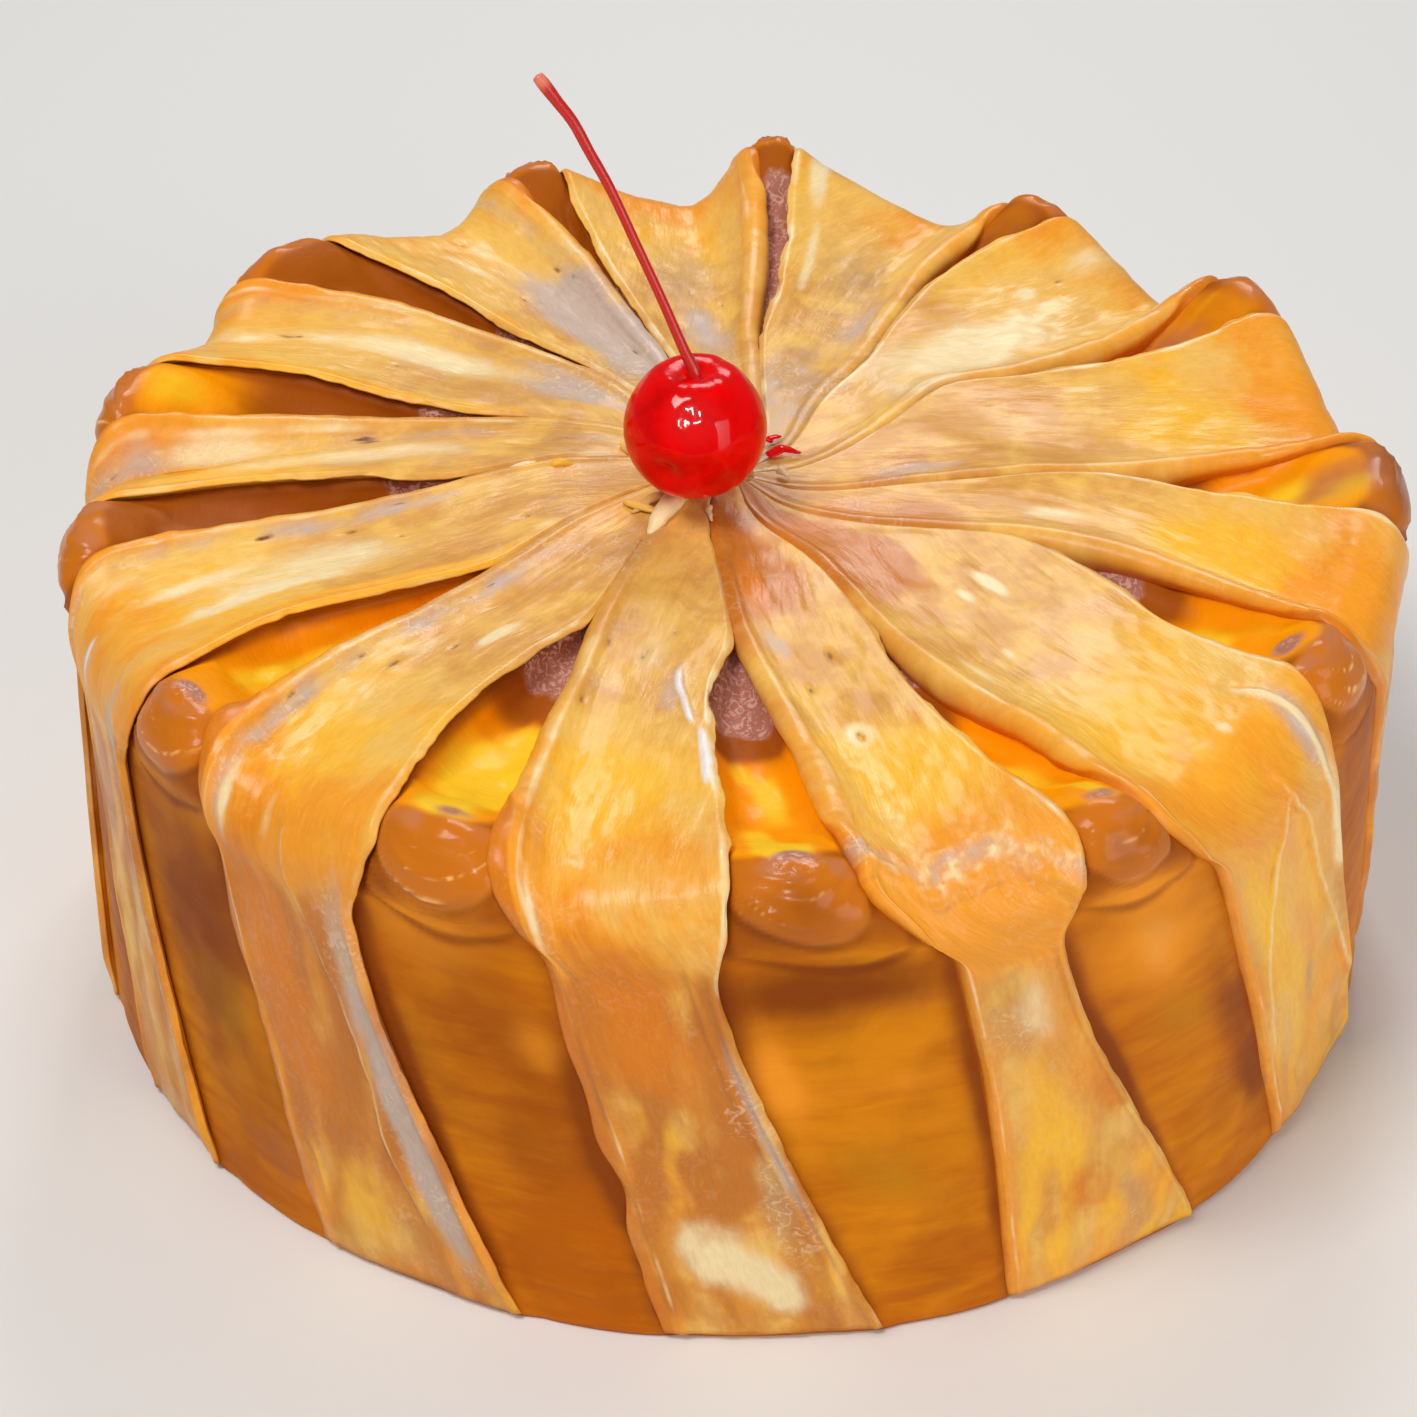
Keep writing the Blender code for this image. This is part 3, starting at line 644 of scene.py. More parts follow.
class Tree:
    """A node tree that grows by calls, each of which returns an output socket."""

    def __init__(self, tree: bpy.types.NodeTree) -> None:
        """Keeps the tree that the nodes are added to."""
        self.tree = tree

    def node(self, kind: str, **settings: object) -> bpy.types.Node:
        """Adds a node.

        Args:
            kind: its type.
            settings: its settings by name.

        Returns:
            The node.
        """
        made = self.tree.nodes.new(kind)
        for name, value in settings.items():
            setattr(made, name, value)
        return made

    def feed(self, socket: bpy.types.NodeSocket, value: object) -> None:
        """Links a socket to another, or sets it to a plain value.

        Args:
            socket: the input.
            value: an output socket, a number, a vector or a colour without its alpha.
        """
        if isinstance(value, bpy.types.NodeSocket):
            self.tree.links.new(value, socket)
        elif isinstance(value, tuple) and socket.type == "RGBA" and len(value) == 3:
            socket.default_value = (*value, 1.0)
        else:
            socket.default_value = value

    def fill(self, node: bpy.types.Node, values: dict) -> bpy.types.Node:
        """Feeds inputs of a node.

        Args:
            node: the node.
            values: what its inputs get, by name or number.

        Returns:
            The same node.
        """
        for name, value in values.items():
            self.feed(node.inputs[name], value)
        return node

    def place(self) -> bpy.types.NodeSocket:
        """Returns the piece's own coordinates."""
        return self.node("ShaderNodeTexCoord").outputs["Object"]

    def mark(self, name: str) -> bpy.types.NodeSocket:
        """Returns the piece's own attribute of that name."""
        return self.node("ShaderNodeAttribute", attribute_name=name).outputs["Fac"]

    def sum(self, operation: str, *values: object) -> bpy.types.NodeSocket:
        """Returns the result of a Math node on the values."""
        made = self.node("ShaderNodeMath", operation=operation)
        return self.fill(made, dict(enumerate(values))).outputs[0]

    def off(self, value: object, weight: float, base: object) -> bpy.types.NodeSocket:
        """Returns the base moved by the weighted distance of a noise value from its middle."""
        return self.sum("MULTIPLY_ADD", self.sum("SUBTRACT", value, 0.5), weight, base)

    def fit(self, value: object, low: float, high: float, bottom: float = 0.0,
            top: float = 1.0) -> bpy.types.NodeSocket:
        """Lets a value rise smoothly.

        Args:
            value: what is read.
            low: where the rise starts.
            high: where it ends.
            bottom: the result up to low.
            top: the result from high on.

        Returns:
            The result.
        """
        made = self.node("ShaderNodeMapRange", interpolation_type="SMOOTHSTEP")
        self.fill(made, {"Value": value, "From Min": low, "From Max": high, "To Min": bottom, "To Max": top})
        return made.outputs["Result"]

    def blend(self, share: object, first: object, second: object, way: str = "MIX") -> bpy.types.NodeSocket:
        """Mixes two colours.

        Args:
            share: how much of the second is used.
            first: a colour.
            second: another.
            way: how they are mixed.

        Returns:
            The mix.
        """
        made = self.node("ShaderNodeMix", data_type="RGBA", blend_type=way)
        made.clamp_factor = True
        return self.fill(made, {"Factor": share, 6: first, 7: second}).outputs[2]

    def noise(self, vector: object, scale: float, detail: float = 3.0, roughness: float = 0.55,
              distortion: float = 0.0) -> bpy.types.NodeSocket:
        """Reads a noise at the vector.

        Args:
            vector: where it is read.
            scale: bumps to a unit.
            detail: how many finer layers it has.
            roughness: how strong they are.
            distortion: how far it is bent.

        Returns:
            Its value.
        """
        made = self.node("ShaderNodeTexNoise")
        self.fill(made, {"Vector": vector, "Scale": scale, "Detail": detail, "Roughness": roughness,
                         "Distortion": distortion})
        return made.outputs["Fac"]

    def group(self, group: bpy.types.NodeTree, **values: object) -> bpy.types.Node:
        """Returns a placed node group with its inputs fed."""
        return self.fill(self.node("ShaderNodeGroup", node_tree=group), values)

    def finish(self, shader: bpy.types.Node, values: dict, height: object, strength: float,
               distance: float) -> None:
        """Feeds a shader and gives it a bump.

        Args:
            shader: the Principled shader.
            values: what its inputs get, by name.
            height: the bump's height.
            strength: the bump's strength.
            distance: the bump's depth in metres.
        """
        bump = self.node("ShaderNodeBump")
        self.fill(bump, {"Strength": strength, "Distance": distance, "Height": height})
        self.fill(shader, values | {"Normal": bump.outputs["Normal"]})


def new_group(name: str, takes: dict, gives: dict) -> tuple:
    """Makes an empty shader node group.

    Args:
        name: the group's name.
        takes: socket types by input name.
        gives: socket types by output name.

    Returns:
        The group, its Tree, its inputs' node and its outputs' node.
    """
    group = bpy.data.node_groups.new(name, "ShaderNodeTree")
    for label, kind in takes.items():
        group.interface.new_socket(label, in_out="INPUT", socket_type=kind)
    for label, kind in gives.items():
        group.interface.new_socket(label, in_out="OUTPUT", socket_type=kind)
    tree = Tree(group)
    return group, tree, tree.node("NodeGroupInput"), tree.node("NodeGroupOutput")


def grain_group() -> bpy.types.NodeTree:
    """Makes the fine grain that cream and caramel share.

    Returns:
        The group, which gives a value and a height.
    """
    group, tree, inside, out = new_group(
        "fine grain", {"Vector": "NodeSocketVector", "Scale": "NodeSocketFloat"},
        {"Value": "NodeSocketFloat", "Height": "NodeSocketFloat"})
    coarse = tree.noise(inside.outputs["Vector"], inside.outputs["Scale"], 4.0, 0.6)
    fine = tree.noise(inside.outputs["Vector"], tree.sum("MULTIPLY", inside.outputs["Scale"], 3.7), 2.0, 0.6)
    height = tree.sum("MULTIPLY_ADD", fine, 0.45, coarse)
    tree.fill(out, {"Value": coarse, "Height": height})
    return group


def streak_group() -> bpy.types.NodeTree:
    """Makes the long marks that a spatula leaves, along the second direction of the piece's map.

    Returns:
        The group, which gives a value and a height.
    """
    group, tree, inside, out = new_group(
        "spatula streaks",
        {"Vector": "NodeSocketVector", "Across": "NodeSocketFloat", "Along": "NodeSocketFloat"},
        {"Value": "NodeSocketFloat", "Height": "NodeSocketFloat"})
    scale = tree.fill(tree.node("ShaderNodeCombineXYZ"),
                      {0: inside.outputs["Across"], 1: inside.outputs["Along"]})
    moved = tree.fill(tree.node("ShaderNodeVectorMath", operation="MULTIPLY"),
                      {0: inside.outputs["Vector"], 1: scale.outputs[0]})
    broad = tree.noise(moved.outputs[0], 1.0, 4.0, 0.6, 0.4)
    fine = tree.noise(moved.outputs[0], 3.1, 3.0, 0.6, 0.2)
    tree.fill(out, {"Value": broad, "Height": tree.sum("MULTIPLY_ADD", fine, 0.5, broad)})
    return group


def new_material(name: str) -> tuple:
    """Makes a material with a Principled shader.

    Args:
        name: the material's name.

    Returns:
        The material, its Tree and its shader.
    """
    material = bpy.data.materials.new(name)
    material.use_nodes = True
    tree = Tree(material.node_tree)
    return material, tree, material.node_tree.nodes["Principled BSDF"]


@dataclass(frozen=True)
class CreamFinish:
    """Cream icing: pale yellow, tan and grey near the eye, orange near the rim, finely grained, with painted
    highlights and painted shade.
    """

    light: tuple = (0.92, 0.550, 0.110)
    dark: tuple = (0.70, 0.325, 0.055)
    warm: tuple = (0.93, 0.35, 0.020)
    grey: tuple = (0.55, 0.335, 0.165)
    # pale: paler cream, also used for painted highlights
    pale: tuple = (0.95, 0.76, 0.42)
    caramel: tuple = (0.74, 0.215, 0.006)
    lilac: tuple = (0.60, 0.455, 0.370)
    gold: tuple = (1.00, 0.53, 0.030)
    # brown: dark streaks, and painted shade in pits, under ledges and past torn edges
    brown: tuple = (0.16, 0.060, 0.025)
    toffee: tuple = (0.60, 0.195, 0.018)
    # painted highlight colour, for the pale strokes on ridges
    white: tuple = (0.86, 0.80, 0.76)
    # beige: a painted sheen tint on the glossier film patches
    beige: tuple = (0.84, 0.46, 0.18)
    # sheen: painted highlight colour on the glossy wrinkles
    sheen: tuple = (0.97, 0.74, 0.50)
    roughness: float = 0.38
    coat: float = 0.14

    def make(self, grain: bpy.types.NodeTree, streaks: bpy.types.NodeTree) -> bpy.types.Material:
        """Builds the material.

        Args:
            grain: the group of fine grain.
            streaks: the group of spatula streaks.

        Returns:
            The cream's material.
        """
        material, tree, shader = new_material("cream_icing")
        plan = tree.node("ShaderNodeUVMap").outputs["UV"]
        place = tree.place()
        streak = tree.group(streaks, Vector=plan, Across=38.0, Along=9.0)
        brushed = tree.group(streaks, Vector=plan, Across=130.0, Along=45.0)
        mottle = tree.noise(place, 120.0, 4.0, 0.6, 0.5)
        film = tree.noise(place, 42.0, 2.0, 0.5, 0.8)
        # worm and film give glossy wrinkles: their height is a real bump, and the sheen colour laid on them
        # below is a painted highlight
        worm = tree.noise(place, 430.0, 3.0, 0.6, 2.2)
        wrinkle = tree.sum("MULTIPLY", tree.fit(worm, 0.50, 0.64), tree.fit(film, 0.42, 0.60))
        speck = tree.group(grain, Vector=place, Scale=900.0)
        share = tree.sum("ADD", tree.mark("tan"), tree.fit(mottle, 0.3, 0.7, -0.28, 0.28))
        share = tree.sum("ADD", share, tree.fit(streak.outputs["Value"], 0.3, 0.7, -0.12, 0.12))
        colour = tree.blend(tree.fit(share, 0.0, 1.0), self.light, self.dark)
        # painted sheen: the glossier film patches are tinted beige
        colour = tree.blend(tree.fit(film, 0.40, 0.66, 0.0, 0.22), colour, self.beige)
        for tone, low, high in (
            (Tone.GOLD, 0.15, 0.95), (Tone.WARM, 0.15, 0.95), (Tone.GREY, 0.20, 1.30),
            (Tone.TOFFEE, 0.15, 1.05), (Tone.LILAC, 0.30, 1.15), (Tone.CARAMEL, 0.20, 0.85),
            (Tone.PALE, 0.20, 0.80), (Tone.BROWN, 0.25, 0.85), (Tone.WHITE, 0.20, 0.80),
        ):
            amount = tree.off(mottle, 0.55, tree.mark(tone.value))
            amount = tree.off(streak.outputs["Value"], 0.45, amount)
            colour = tree.blend(tree.fit(amount, low, high), colour, getattr(self, tone.value))
        # painted sheen: pale highlights on the wrinkles, where grey and lilac lie
        sheen = tree.fit(tree.sum("ADD", tree.mark("grey"), tree.mark("lilac")), 0.1, 0.8, 0.06, 0.42)
        colour = tree.blend(tree.sum("MULTIPLY", wrinkle, sheen), colour, self.sheen)
        speckle = tree.fit(brushed.outputs["Value"], 0.30, 0.70)
        colour = tree.blend(1.0, colour, tree.blend(speckle, (0.94, 0.90, 0.86), (1.0, 1.0, 1.0)), "MULTIPLY")
        height = tree.sum("MULTIPLY", streak.outputs["Height"], 0.9)
        height = tree.sum("MULTIPLY_ADD", speck.outputs["Height"], 0.10, height)
        height = tree.sum("MULTIPLY_ADD", brushed.outputs["Height"], 0.10, height)
        height = tree.sum("MULTIPLY_ADD", tree.sum("MULTIPLY", wrinkle, sheen), 0.7, height)
        rough = tree.fit(film, 0.40, 0.62, self.roughness + 0.08, self.roughness - 0.08)
        tree.finish(shader, {
            "Base Color": colour, "Roughness": rough, "Coat Weight": self.coat, "Coat Roughness": 0.20,
            "Specular IOR Level": 0.22, "Subsurface Weight": 0.12,
            "Subsurface Radius": (0.004, 0.002, 0.0008)}, height, 0.40, 0.0006)
        return material


@dataclass(frozen=True)
class CaramelFinish:
    """Caramel undercoat: brown panels, glossy lips, mauve inner ends and bright golden floors, with painted
    shade and painted highlights.
    """

    panel: tuple = (0.52, 0.122, 0.002)
    light: tuple = (0.74, 0.245, 0.004)
    # deep: dark caramel for random mottling, and through the deep mark painted shade under the lips, in
    # creases and corners and over the panels
    deep: tuple = (0.27, 0.055, 0.003)
    gold: tuple = (1.00, 0.335, 0.0)
    heart: tuple = (1.00, 0.60, 0.020)
    brown: tuple = (0.40, 0.095, 0.005)
    mauve: tuple = (0.45, 0.180, 0.120)
    # painted glints: small wormy highlights on the mauve grain
    painted_glints: tuple = (0.74, 0.44, 0.36)
    lip: tuple = (0.62, 0.170, 0.008)
    rose: tuple = (0.56, 0.185, 0.060)
    # pale: painted highlight lines on the lips, and paler patches on the panels
    pale: tuple = (0.92, 0.47, 0.14)
    # glow: painted light on the panels and below the lips
    glow: tuple = (0.92, 0.310, 0.018)
    olive: tuple = (0.56, 0.240, 0.006)

    def make(self, grain: bpy.types.NodeTree, streaks: bpy.types.NodeTree) -> bpy.types.Material:
        """Builds the material.

        Args:
            grain: the group of fine grain.
            streaks: the group of spatula streaks.

        Returns:
            The caramel's material.
        """
        material, tree, shader = new_material("caramel_icing")
        plan = tree.node("ShaderNodeUVMap").outputs["UV"]
        place = tree.place()
        streak = tree.group(streaks, Vector=plan, Across=7.0, Along=26.0)
        mottle = tree.noise(place, 55.0, 4.0, 0.6, 0.5)
        broad = tree.noise(place, 22.0, 2.0, 0.5, 0.6)
        speck = tree.group(grain, Vector=place, Scale=1100.0)
        share = tree.sum("MULTIPLY_ADD", streak.outputs["Value"], 0.35, tree.sum("MULTIPLY", broad, 0.65))
        colour = tree.blend(tree.fit(share, 0.38, 0.64), self.panel, self.light)
        colour = tree.blend(tree.fit(mottle, 0.45, 0.8, 0.0, 0.35), colour, self.deep)
        for name, low, high in (
            ("glow", 0.1, 1.1), ("olive", 0.15, 1.0), ("brown", 0.2, 0.8), ("gold", 0.10, 0.95),
            ("heart", 0.3, 1.0), ("mauve", 0.3, 0.65), ("lip", 0.25, 0.75), ("rose", 0.30, 1.10),
            ("pale", 0.3, 0.9), ("deep", 0.2, 1.1),
        ):
            amount = tree.off(mottle, 0.5, tree.mark(name))
            colour = tree.blend(tree.fit(amount, low, high), colour, getattr(self, name))
        # the mauve's grain has a real bump and painted glints
        worm = tree.noise(place, 560.0, 3.0, 0.6, 2.0)
        mauve = tree.mark("mauve")
        painted_glints = tree.sum("MULTIPLY", tree.fit(worm, 0.48, 0.62), tree.fit(mauve, 0.3, 0.8, 0.0, 0.80))
        colour = tree.blend(painted_glints, colour, self.painted_glints)
        wet = tree.sum("MAXIMUM", tree.mark("lip"), tree.sum("MULTIPLY", tree.mark("gold"), 0.45))
        height = tree.sum("MULTIPLY", worm, tree.fit(mauve, 0.2, 0.8, 0.0, 1.2))
        height = tree.sum("MULTIPLY_ADD", speck.outputs["Height"], 0.10, height)
        height = tree.sum("MULTIPLY_ADD", streak.outputs["Height"], 1.1, height)
        tree.finish(shader, {
            "Base Color": colour, "Roughness": tree.fit(wet, 0.2, 0.7, 0.46, 0.30),
            "Coat Weight": tree.fit(wet, 0.2, 0.8, 0.0, 0.28), "Specular IOR Level": 0.06,
            "Coat Roughness": 0.14, "Subsurface Weight": 0.1,
            "Subsurface Radius": (0.005, 0.002, 0.0006)}, height, 0.32, 0.0006)
        return material


@dataclass(frozen=True)
class CherryFinish:
    """Wet candied skin, saturated red, a little uneven."""

    red: tuple = (0.84, 0.0, 0.0)
    dark: tuple = (0.64, 0.0, 0.0)

    def make(self, grain: bpy.types.NodeTree) -> bpy.types.Material:
        """Builds the material.

        Args:
            grain: the group of fine grain.

        Returns:
            The cherry's material.
        """
        material, tree, shader = new_material("cherry_skin")
        place = tree.place()
        mottle = tree.noise(place, 160.0, 4.0, 0.6, 0.6)
        speck = tree.group(grain, Vector=place, Scale=500.0)
        colour = tree.blend(tree.fit(mottle, 0.35, 0.7), self.red, self.dark)
        tree.finish(shader, {
            "Base Color": colour, "Roughness": tree.fit(mottle, 0.3, 0.7, 0.10, 0.20),
            "Coat Weight": tree.fit(tree.mark("wet"), 0.1, 0.8, 0.12, 1.0), "Coat Roughness": 0.03,
            "Specular IOR Level": 0.08, "Subsurface Weight": 0.10,
            "Subsurface Radius": (0.006, 0.0006, 0.0004)}, speck.outputs["Value"], 0.18, 0.0004)
        return material


@dataclass(frozen=True)
class StemFinish:
    """Dyed stem, red along its length and paler at its club."""

    red: tuple = (0.55, 0.012, 0.008)
    tip: tuple = (0.80, 0.20, 0.13)

    def make(self, grain: bpy.types.NodeTree) -> bpy.types.Material:
        """Builds the material.

        Args:
            grain: the group of fine grain.

        Returns:
            The stem's material.
        """
        material, tree, shader = new_material("stem_skin")
        place = tree.place()
        speck = tree.group(grain, Vector=place, Scale=700.0)
        end = tree.off(speck.outputs["Value"], 0.4, tree.mark("tip"))
        colour = tree.blend(tree.fit(end, 0.2, 0.9), self.red, self.tip)
        rough = tree.fit(speck.outputs["Value"], 0.3, 0.7, 0.28, 0.42)
        tree.finish(shader, {"Base Color": colour, "Roughness": rough, "Coat Weight": 0.2},
                    speck.outputs["Height"], 0.3, 0.0003)
        return material


def dress(piece: bpy.types.Object, material: bpy.types.Material, slot: str, *nodes: str) -> None:
    """Gives a piece its material, hangs it on the root body and hides the CAD parts that it stands for.

    Args:
        piece: the piece.
        material: its material.
        slot: not used.
        nodes: CAD nodes that it stands for.
    """
    piece.data.materials.clear()
    piece.data.materials.append(material)
    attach(piece, "root")
    if nodes:
        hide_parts(*nodes)
    log.info("%s: %d faces", piece.name, len(piece.data.polygons))


@dataclass(frozen=True)
class Patch:
    """A soft spot of colour, painted shade or painted light on a pocket or its panel: place in mm along,
    share across, half sizes.
    """

    pocket: int
    mark: str
    along: float
    share: float
    length: float
    width: float
    strength: float = 0.8


# glow and pale patches are painted light; deep patches are painted shade beside the bands, under the lips and
# over whole panels
PATCHES = (
    Patch(8, "deep", 132, 0.5, 30, 0.6, 0.55), Patch(8, "olive", 143, 0.6, 9, 0.28, 0.9),
    Patch(8, "rose", 170, 0.7, 9, 0.35, 0.6),
    Patch(9, "glow", 116, 0.35, 7, 0.35, 0.7), Patch(9, "glow", 129, 0.78, 5, 0.14, 0.8),
    Patch(9, "deep", 152, 0.94, 26, 0.10, 0.9), Patch(9, "deep", 140, 0.03, 34, 0.07, 0.6),
    Patch(9, "olive", 134, 0.2, 9, 0.2, 0.5),
    Patch(10, "glow", 130, 0.10, 10, 0.12, 1.0), Patch(10, "glow", 133, 0.55, 4, 0.30, 0.6),
    Patch(10, "deep", 118, 0.45, 4, 0.40, 0.9), Patch(10, "deep", 150, 0.95, 30, 0.07, 0.7),
    Patch(10, "rose", 120, 0.6, 4, 0.4, 0.6), Patch(10, "olive", 150, 0.4, 9, 0.3, 0.5),
    Patch(11, "glow", 119, 0.45, 13, 0.5, 1.1), Patch(11, "deep", 150, 0.85, 26, 0.16, 0.7),
    Patch(11, "deep", 146, 0.04, 24, 0.07, 0.7), Patch(11, "olive", 138, 0.5, 9, 0.3, 0.5),
    Patch(7, "deep", 140, 0.5, 40, 0.6, 0.4), Patch(0, "glow", 122, 0.5, 14, 0.5, 0.7),
    Patch(2, "glow", 126, 0.5, 12, 0.4, 0.6), Patch(3, "olive", 148, 0.4, 12, 0.3, 0.6),
    Patch(4, "glow", 122, 0.4, 10, 0.4, 0.7), Patch(5, "deep", 150, 0.9, 24, 0.12, 0.7),
    Patch(6, "glow", 124, 0.4, 12, 0.4, 0.6), Patch(1, "deep", 152, 0.1, 24, 0.1, 0.7),
    Patch(0, "rose", 96, 0.5, 7, 0.4, 0.9), Patch(0, "mauve", 84, 0.5, 9, 0.5, 0.4),
    Patch(10, "mauve", 101.5, 0.5, 2.2, 0.36, 0.75), Patch(11, "mauve", 100, 0.6, 2.0, 0.32, 0.7),
    Patch(10, "deep", 107, 0.5, 5, 0.5, 0.6), Patch(11, "deep", 107, 0.5, 4, 0.45, 0.6),
    Patch(9, "glow", 106, 0.5, 6, 0.5, 1.2), Patch(9, "heart", 84, 0.55, 10, 0.5, 1.1),
    Patch(0, "deep", 105, 0.5, 7, 0.5, 0.8), Patch(1, "rose", 85, 0.5, 14, 0.5, 0.8),
    Patch(6, "gold", 96, 0.5, 8, 0.7, 1.0), Patch(6, "heart", 97, 0.45, 5, 0.4, 0.7),
    Patch(6, "rose", 78, 0.5, 9, 0.4, 0.7), Patch(7, "rose", 84, 0.5, 16, 0.6, 0.9),
    Patch(7, "glow", 96, 0.4, 7, 0.5, 0.9), Patch(8, "mauve", 101, 0.5, 2.0, 0.3, 0.7),
    Patch(12, "mauve", 97, 0.4, 3.0, 0.3, 0.7), Patch(12, "rose", 104, 0.6, 5, 0.4, 0.6),
    Patch(11, "pale", 124, 0.45, 9, 0.35, 0.45), Patch(9, "mauve", 100, 0.6, 1.8, 0.3, 0.5),
    Patch(9, "deep", 136, 0.55, 28, 0.5, 0.35),
)


@dataclass
class CaramelCake:
    """The sponge under its caramel: pockets with floors and lips, and the panels below them."""

    form: Undercoat
    pocket_columns: int = 28
    band_shares: tuple = (0.0, 0.07, 0.14, 0.22, 0.3, 0.4, 0.55, 0.7, 0.85)
    foot_inset: float = 0.5
    arc_pitch: float = 2.1
    arc_bend: float = 5.0
    lip_end: float = 110.5
    lip_curve: float = 5.5
    lip_step: float = 0.6
    second_roll: float = 4.2
    floor_lump: float = 0.55
    floor_smear: float = 0.7
    rim_roll: float = 0.5
    arc_height: float = 0.62
    second_step: float = 0.35
    foot_roll: float = 0.35

    def grid(self) -> tuple:
        """Returns the columns' places q and the rows' distances s."""
        inside = np.linspace(0.0, 1.0, self.pocket_columns, endpoint=False)
        lane = np.concatenate((inside, 1.0 + np.array(self.band_shares)))
        q = np.concatenate([lane + 2 * k for k in range(BANDS)] + [[2.0 * BANDS]])
        s = spaced((0.0, 40.0, 16), (40.0, 92.0, 52), (92.0, 118.0, 52), (118.0, FOOT, 58))
        return q, s

    def relief(self, q: np.ndarray, s: np.ndarray) -> np.ndarray:
        """Finds how far the surface stands out from the plain form, mm.

        Args:
            q: columns' places, one row.
            s: rows' distances, one column.

        Returns:
            Heights along the normals.
        """
        lumps, fine = Wander(11), Wander(12)
        share = q % 2.0
        inside = np.where(share < 1.0, 1.0 - np.abs(2 * share - 1) ** 6, 0.0)
        floor = ease((40, 60), s) * fall((92, 101), s)
        lip = ease((101, 104), s) * fall((112, 117), s)
        panel = ease((114, 122), s)
        base = self.floor_lump * floor * lumps.rough(q * 3.1, s / 6.0)
        smears = self.floor_smear * floor * np.maximum(0.0, fine.at(q * 3.0 + s / 30.0, s / 5.0))
        rolled = self.rim_roll * bell(s, 102.5, 1.8) * (0.3 + lumps.at(q * 5.0, s / 2.5))
        arc = self.arc_place(q, s)
        line = (1 - np.abs(2 * (arc % 1.0) - 1)) ** 2
        arcs = self.arc_height * lip * line * np.clip(0.5 + lumps.at(q * 3.0 + 9, np.floor(arc) * 0.7), 0, 1)
        smear = 0.12 * fine.rough(q * 1.6 + s / 60.0, s / 3.0) + 0.40 * lumps.rough(q * 1.6, s / 14.0)
        below = s - self.lip_edge(q, s)
        second = ease((104, 108), s) * fall((-0.5, 0.8), below - self.second_roll)
        rolled = rolled + self.second_step * second
        step = ease((99, 103), s) * fall((-0.6, 0.6), below) * (1 - 0.3 * bell(below, -4.0, 1.4))
        rolled = rolled + self.lip_step * step
        foot = self.foot_roll * bell(s, 174.5, 1.2) * (0.6 + 0.6 * fine.at(q * 9.0, 3.0))
        return inside * (base + smears + rolled + arcs + panel * smear + foot)

    def lip_edge(self, q: np.ndarray, s: np.ndarray) -> np.ndarray:
        """Finds how far down each lip ends: lowest at its middle, and a little uneven.

        Args:
            q: columns' places, one row.
            s: rows' distances, one column.

        Returns:
            Distances in mm.
        """
        across = np.abs(2 * (q % 2.0) - 1)
        return self.lip_end - self.lip_curve * across**2 + 1.2 * Wander(31).rough(q * 1.9, 0.5) + 0.0 * s

    def arc_place(self, q: np.ndarray, s: np.ndarray) -> np.ndarray:
        """Numbers the arcs of a lip.

        Args:
            q: columns' places, one row.
            s: rows' distances, one column.

        Returns:
            A value that grows by one from each arc to the next.
        """
        bent = s + self.arc_bend * (2 * (q % 2.0) - 1) ** 2
        return bent / self.arc_pitch + 0.35 * Wander(11).at(q * 2.2, s / 6.0)

    def marks(self, q: np.ndarray, s: np.ndarray) -> dict:
        """Finds where each colour lies.

        Args:
            q: columns' places, one row.
            s: rows' distances, one column.

        Returns:
            Values by attribute name, rows by columns.
        """
        lumps, fine = Wander(21), Wander(22)
        share = q % 2.0
        index = (np.floor(q / 2.0).astype(int)) % BANDS
        pocket = share < 1.0
        mauve_end = np.array([p.mauve_end for p in POCKETS])[index]
        gold_amount = np.array([p.gold for p in POCKETS])[index]
        across = np.abs(2 * share - 1)
        uneven = 4.0 * lumps.rough(q * 2.3, s / 12.0)
        start = mauve_end + 3.0 + 0.8 * uneven
        top = 1 - ease((108, 115), s)
        gold = pocket * gold_amount * ease((0, 9), s - start)
        gold = gold * fall((99, 103), s + 2 * across**2 + 0.5 * uneven)
        mauve = pocket * (1 - ease((-2, 3), s - mauve_end - 0.6 * uneven)) * 0.9
        lip = pocket * ease((99, 103), s) * (1 - ease((-1.5, 2.5), s - self.lip_edge(q, s)))
        rose = pocket * bell(s + 0.3 * uneven, 102.6, 2.0) * (0.55 + 0.6 * fine.at(q * 6.0, s / 2.0))
        panel = ease((112, 120), s)
        heart = gold * bell(across, 0.15, 0.6) * (0.70 + 0.8 * lumps.at(q * 3.3, s / 7.0))
        arc = self.arc_place(q, s)
        line = (1 - np.abs(2 * (arc % 1.0) - 1)) ** 4
        below = s - self.lip_edge(q, s)
        # painted highlights: pale lines along the lip's arcs, above its lower edge and above its second step;
        # the panel part gives paler patches
        pale = lip * ease((103, 105), s) * line * (0.6 + 0.5 * fine.at(q * 5.0, np.floor(arc)))
        pale = pale + 0.55 * pocket * bell(below, -1.0, 0.5) * held(0.4 + fine.rough(q * 2.2, 8.5))
        pale = pale + pocket * panel * 0.5 * held(fine.rough(q * 1.5 + 5, s / 5.0) - 0.35)
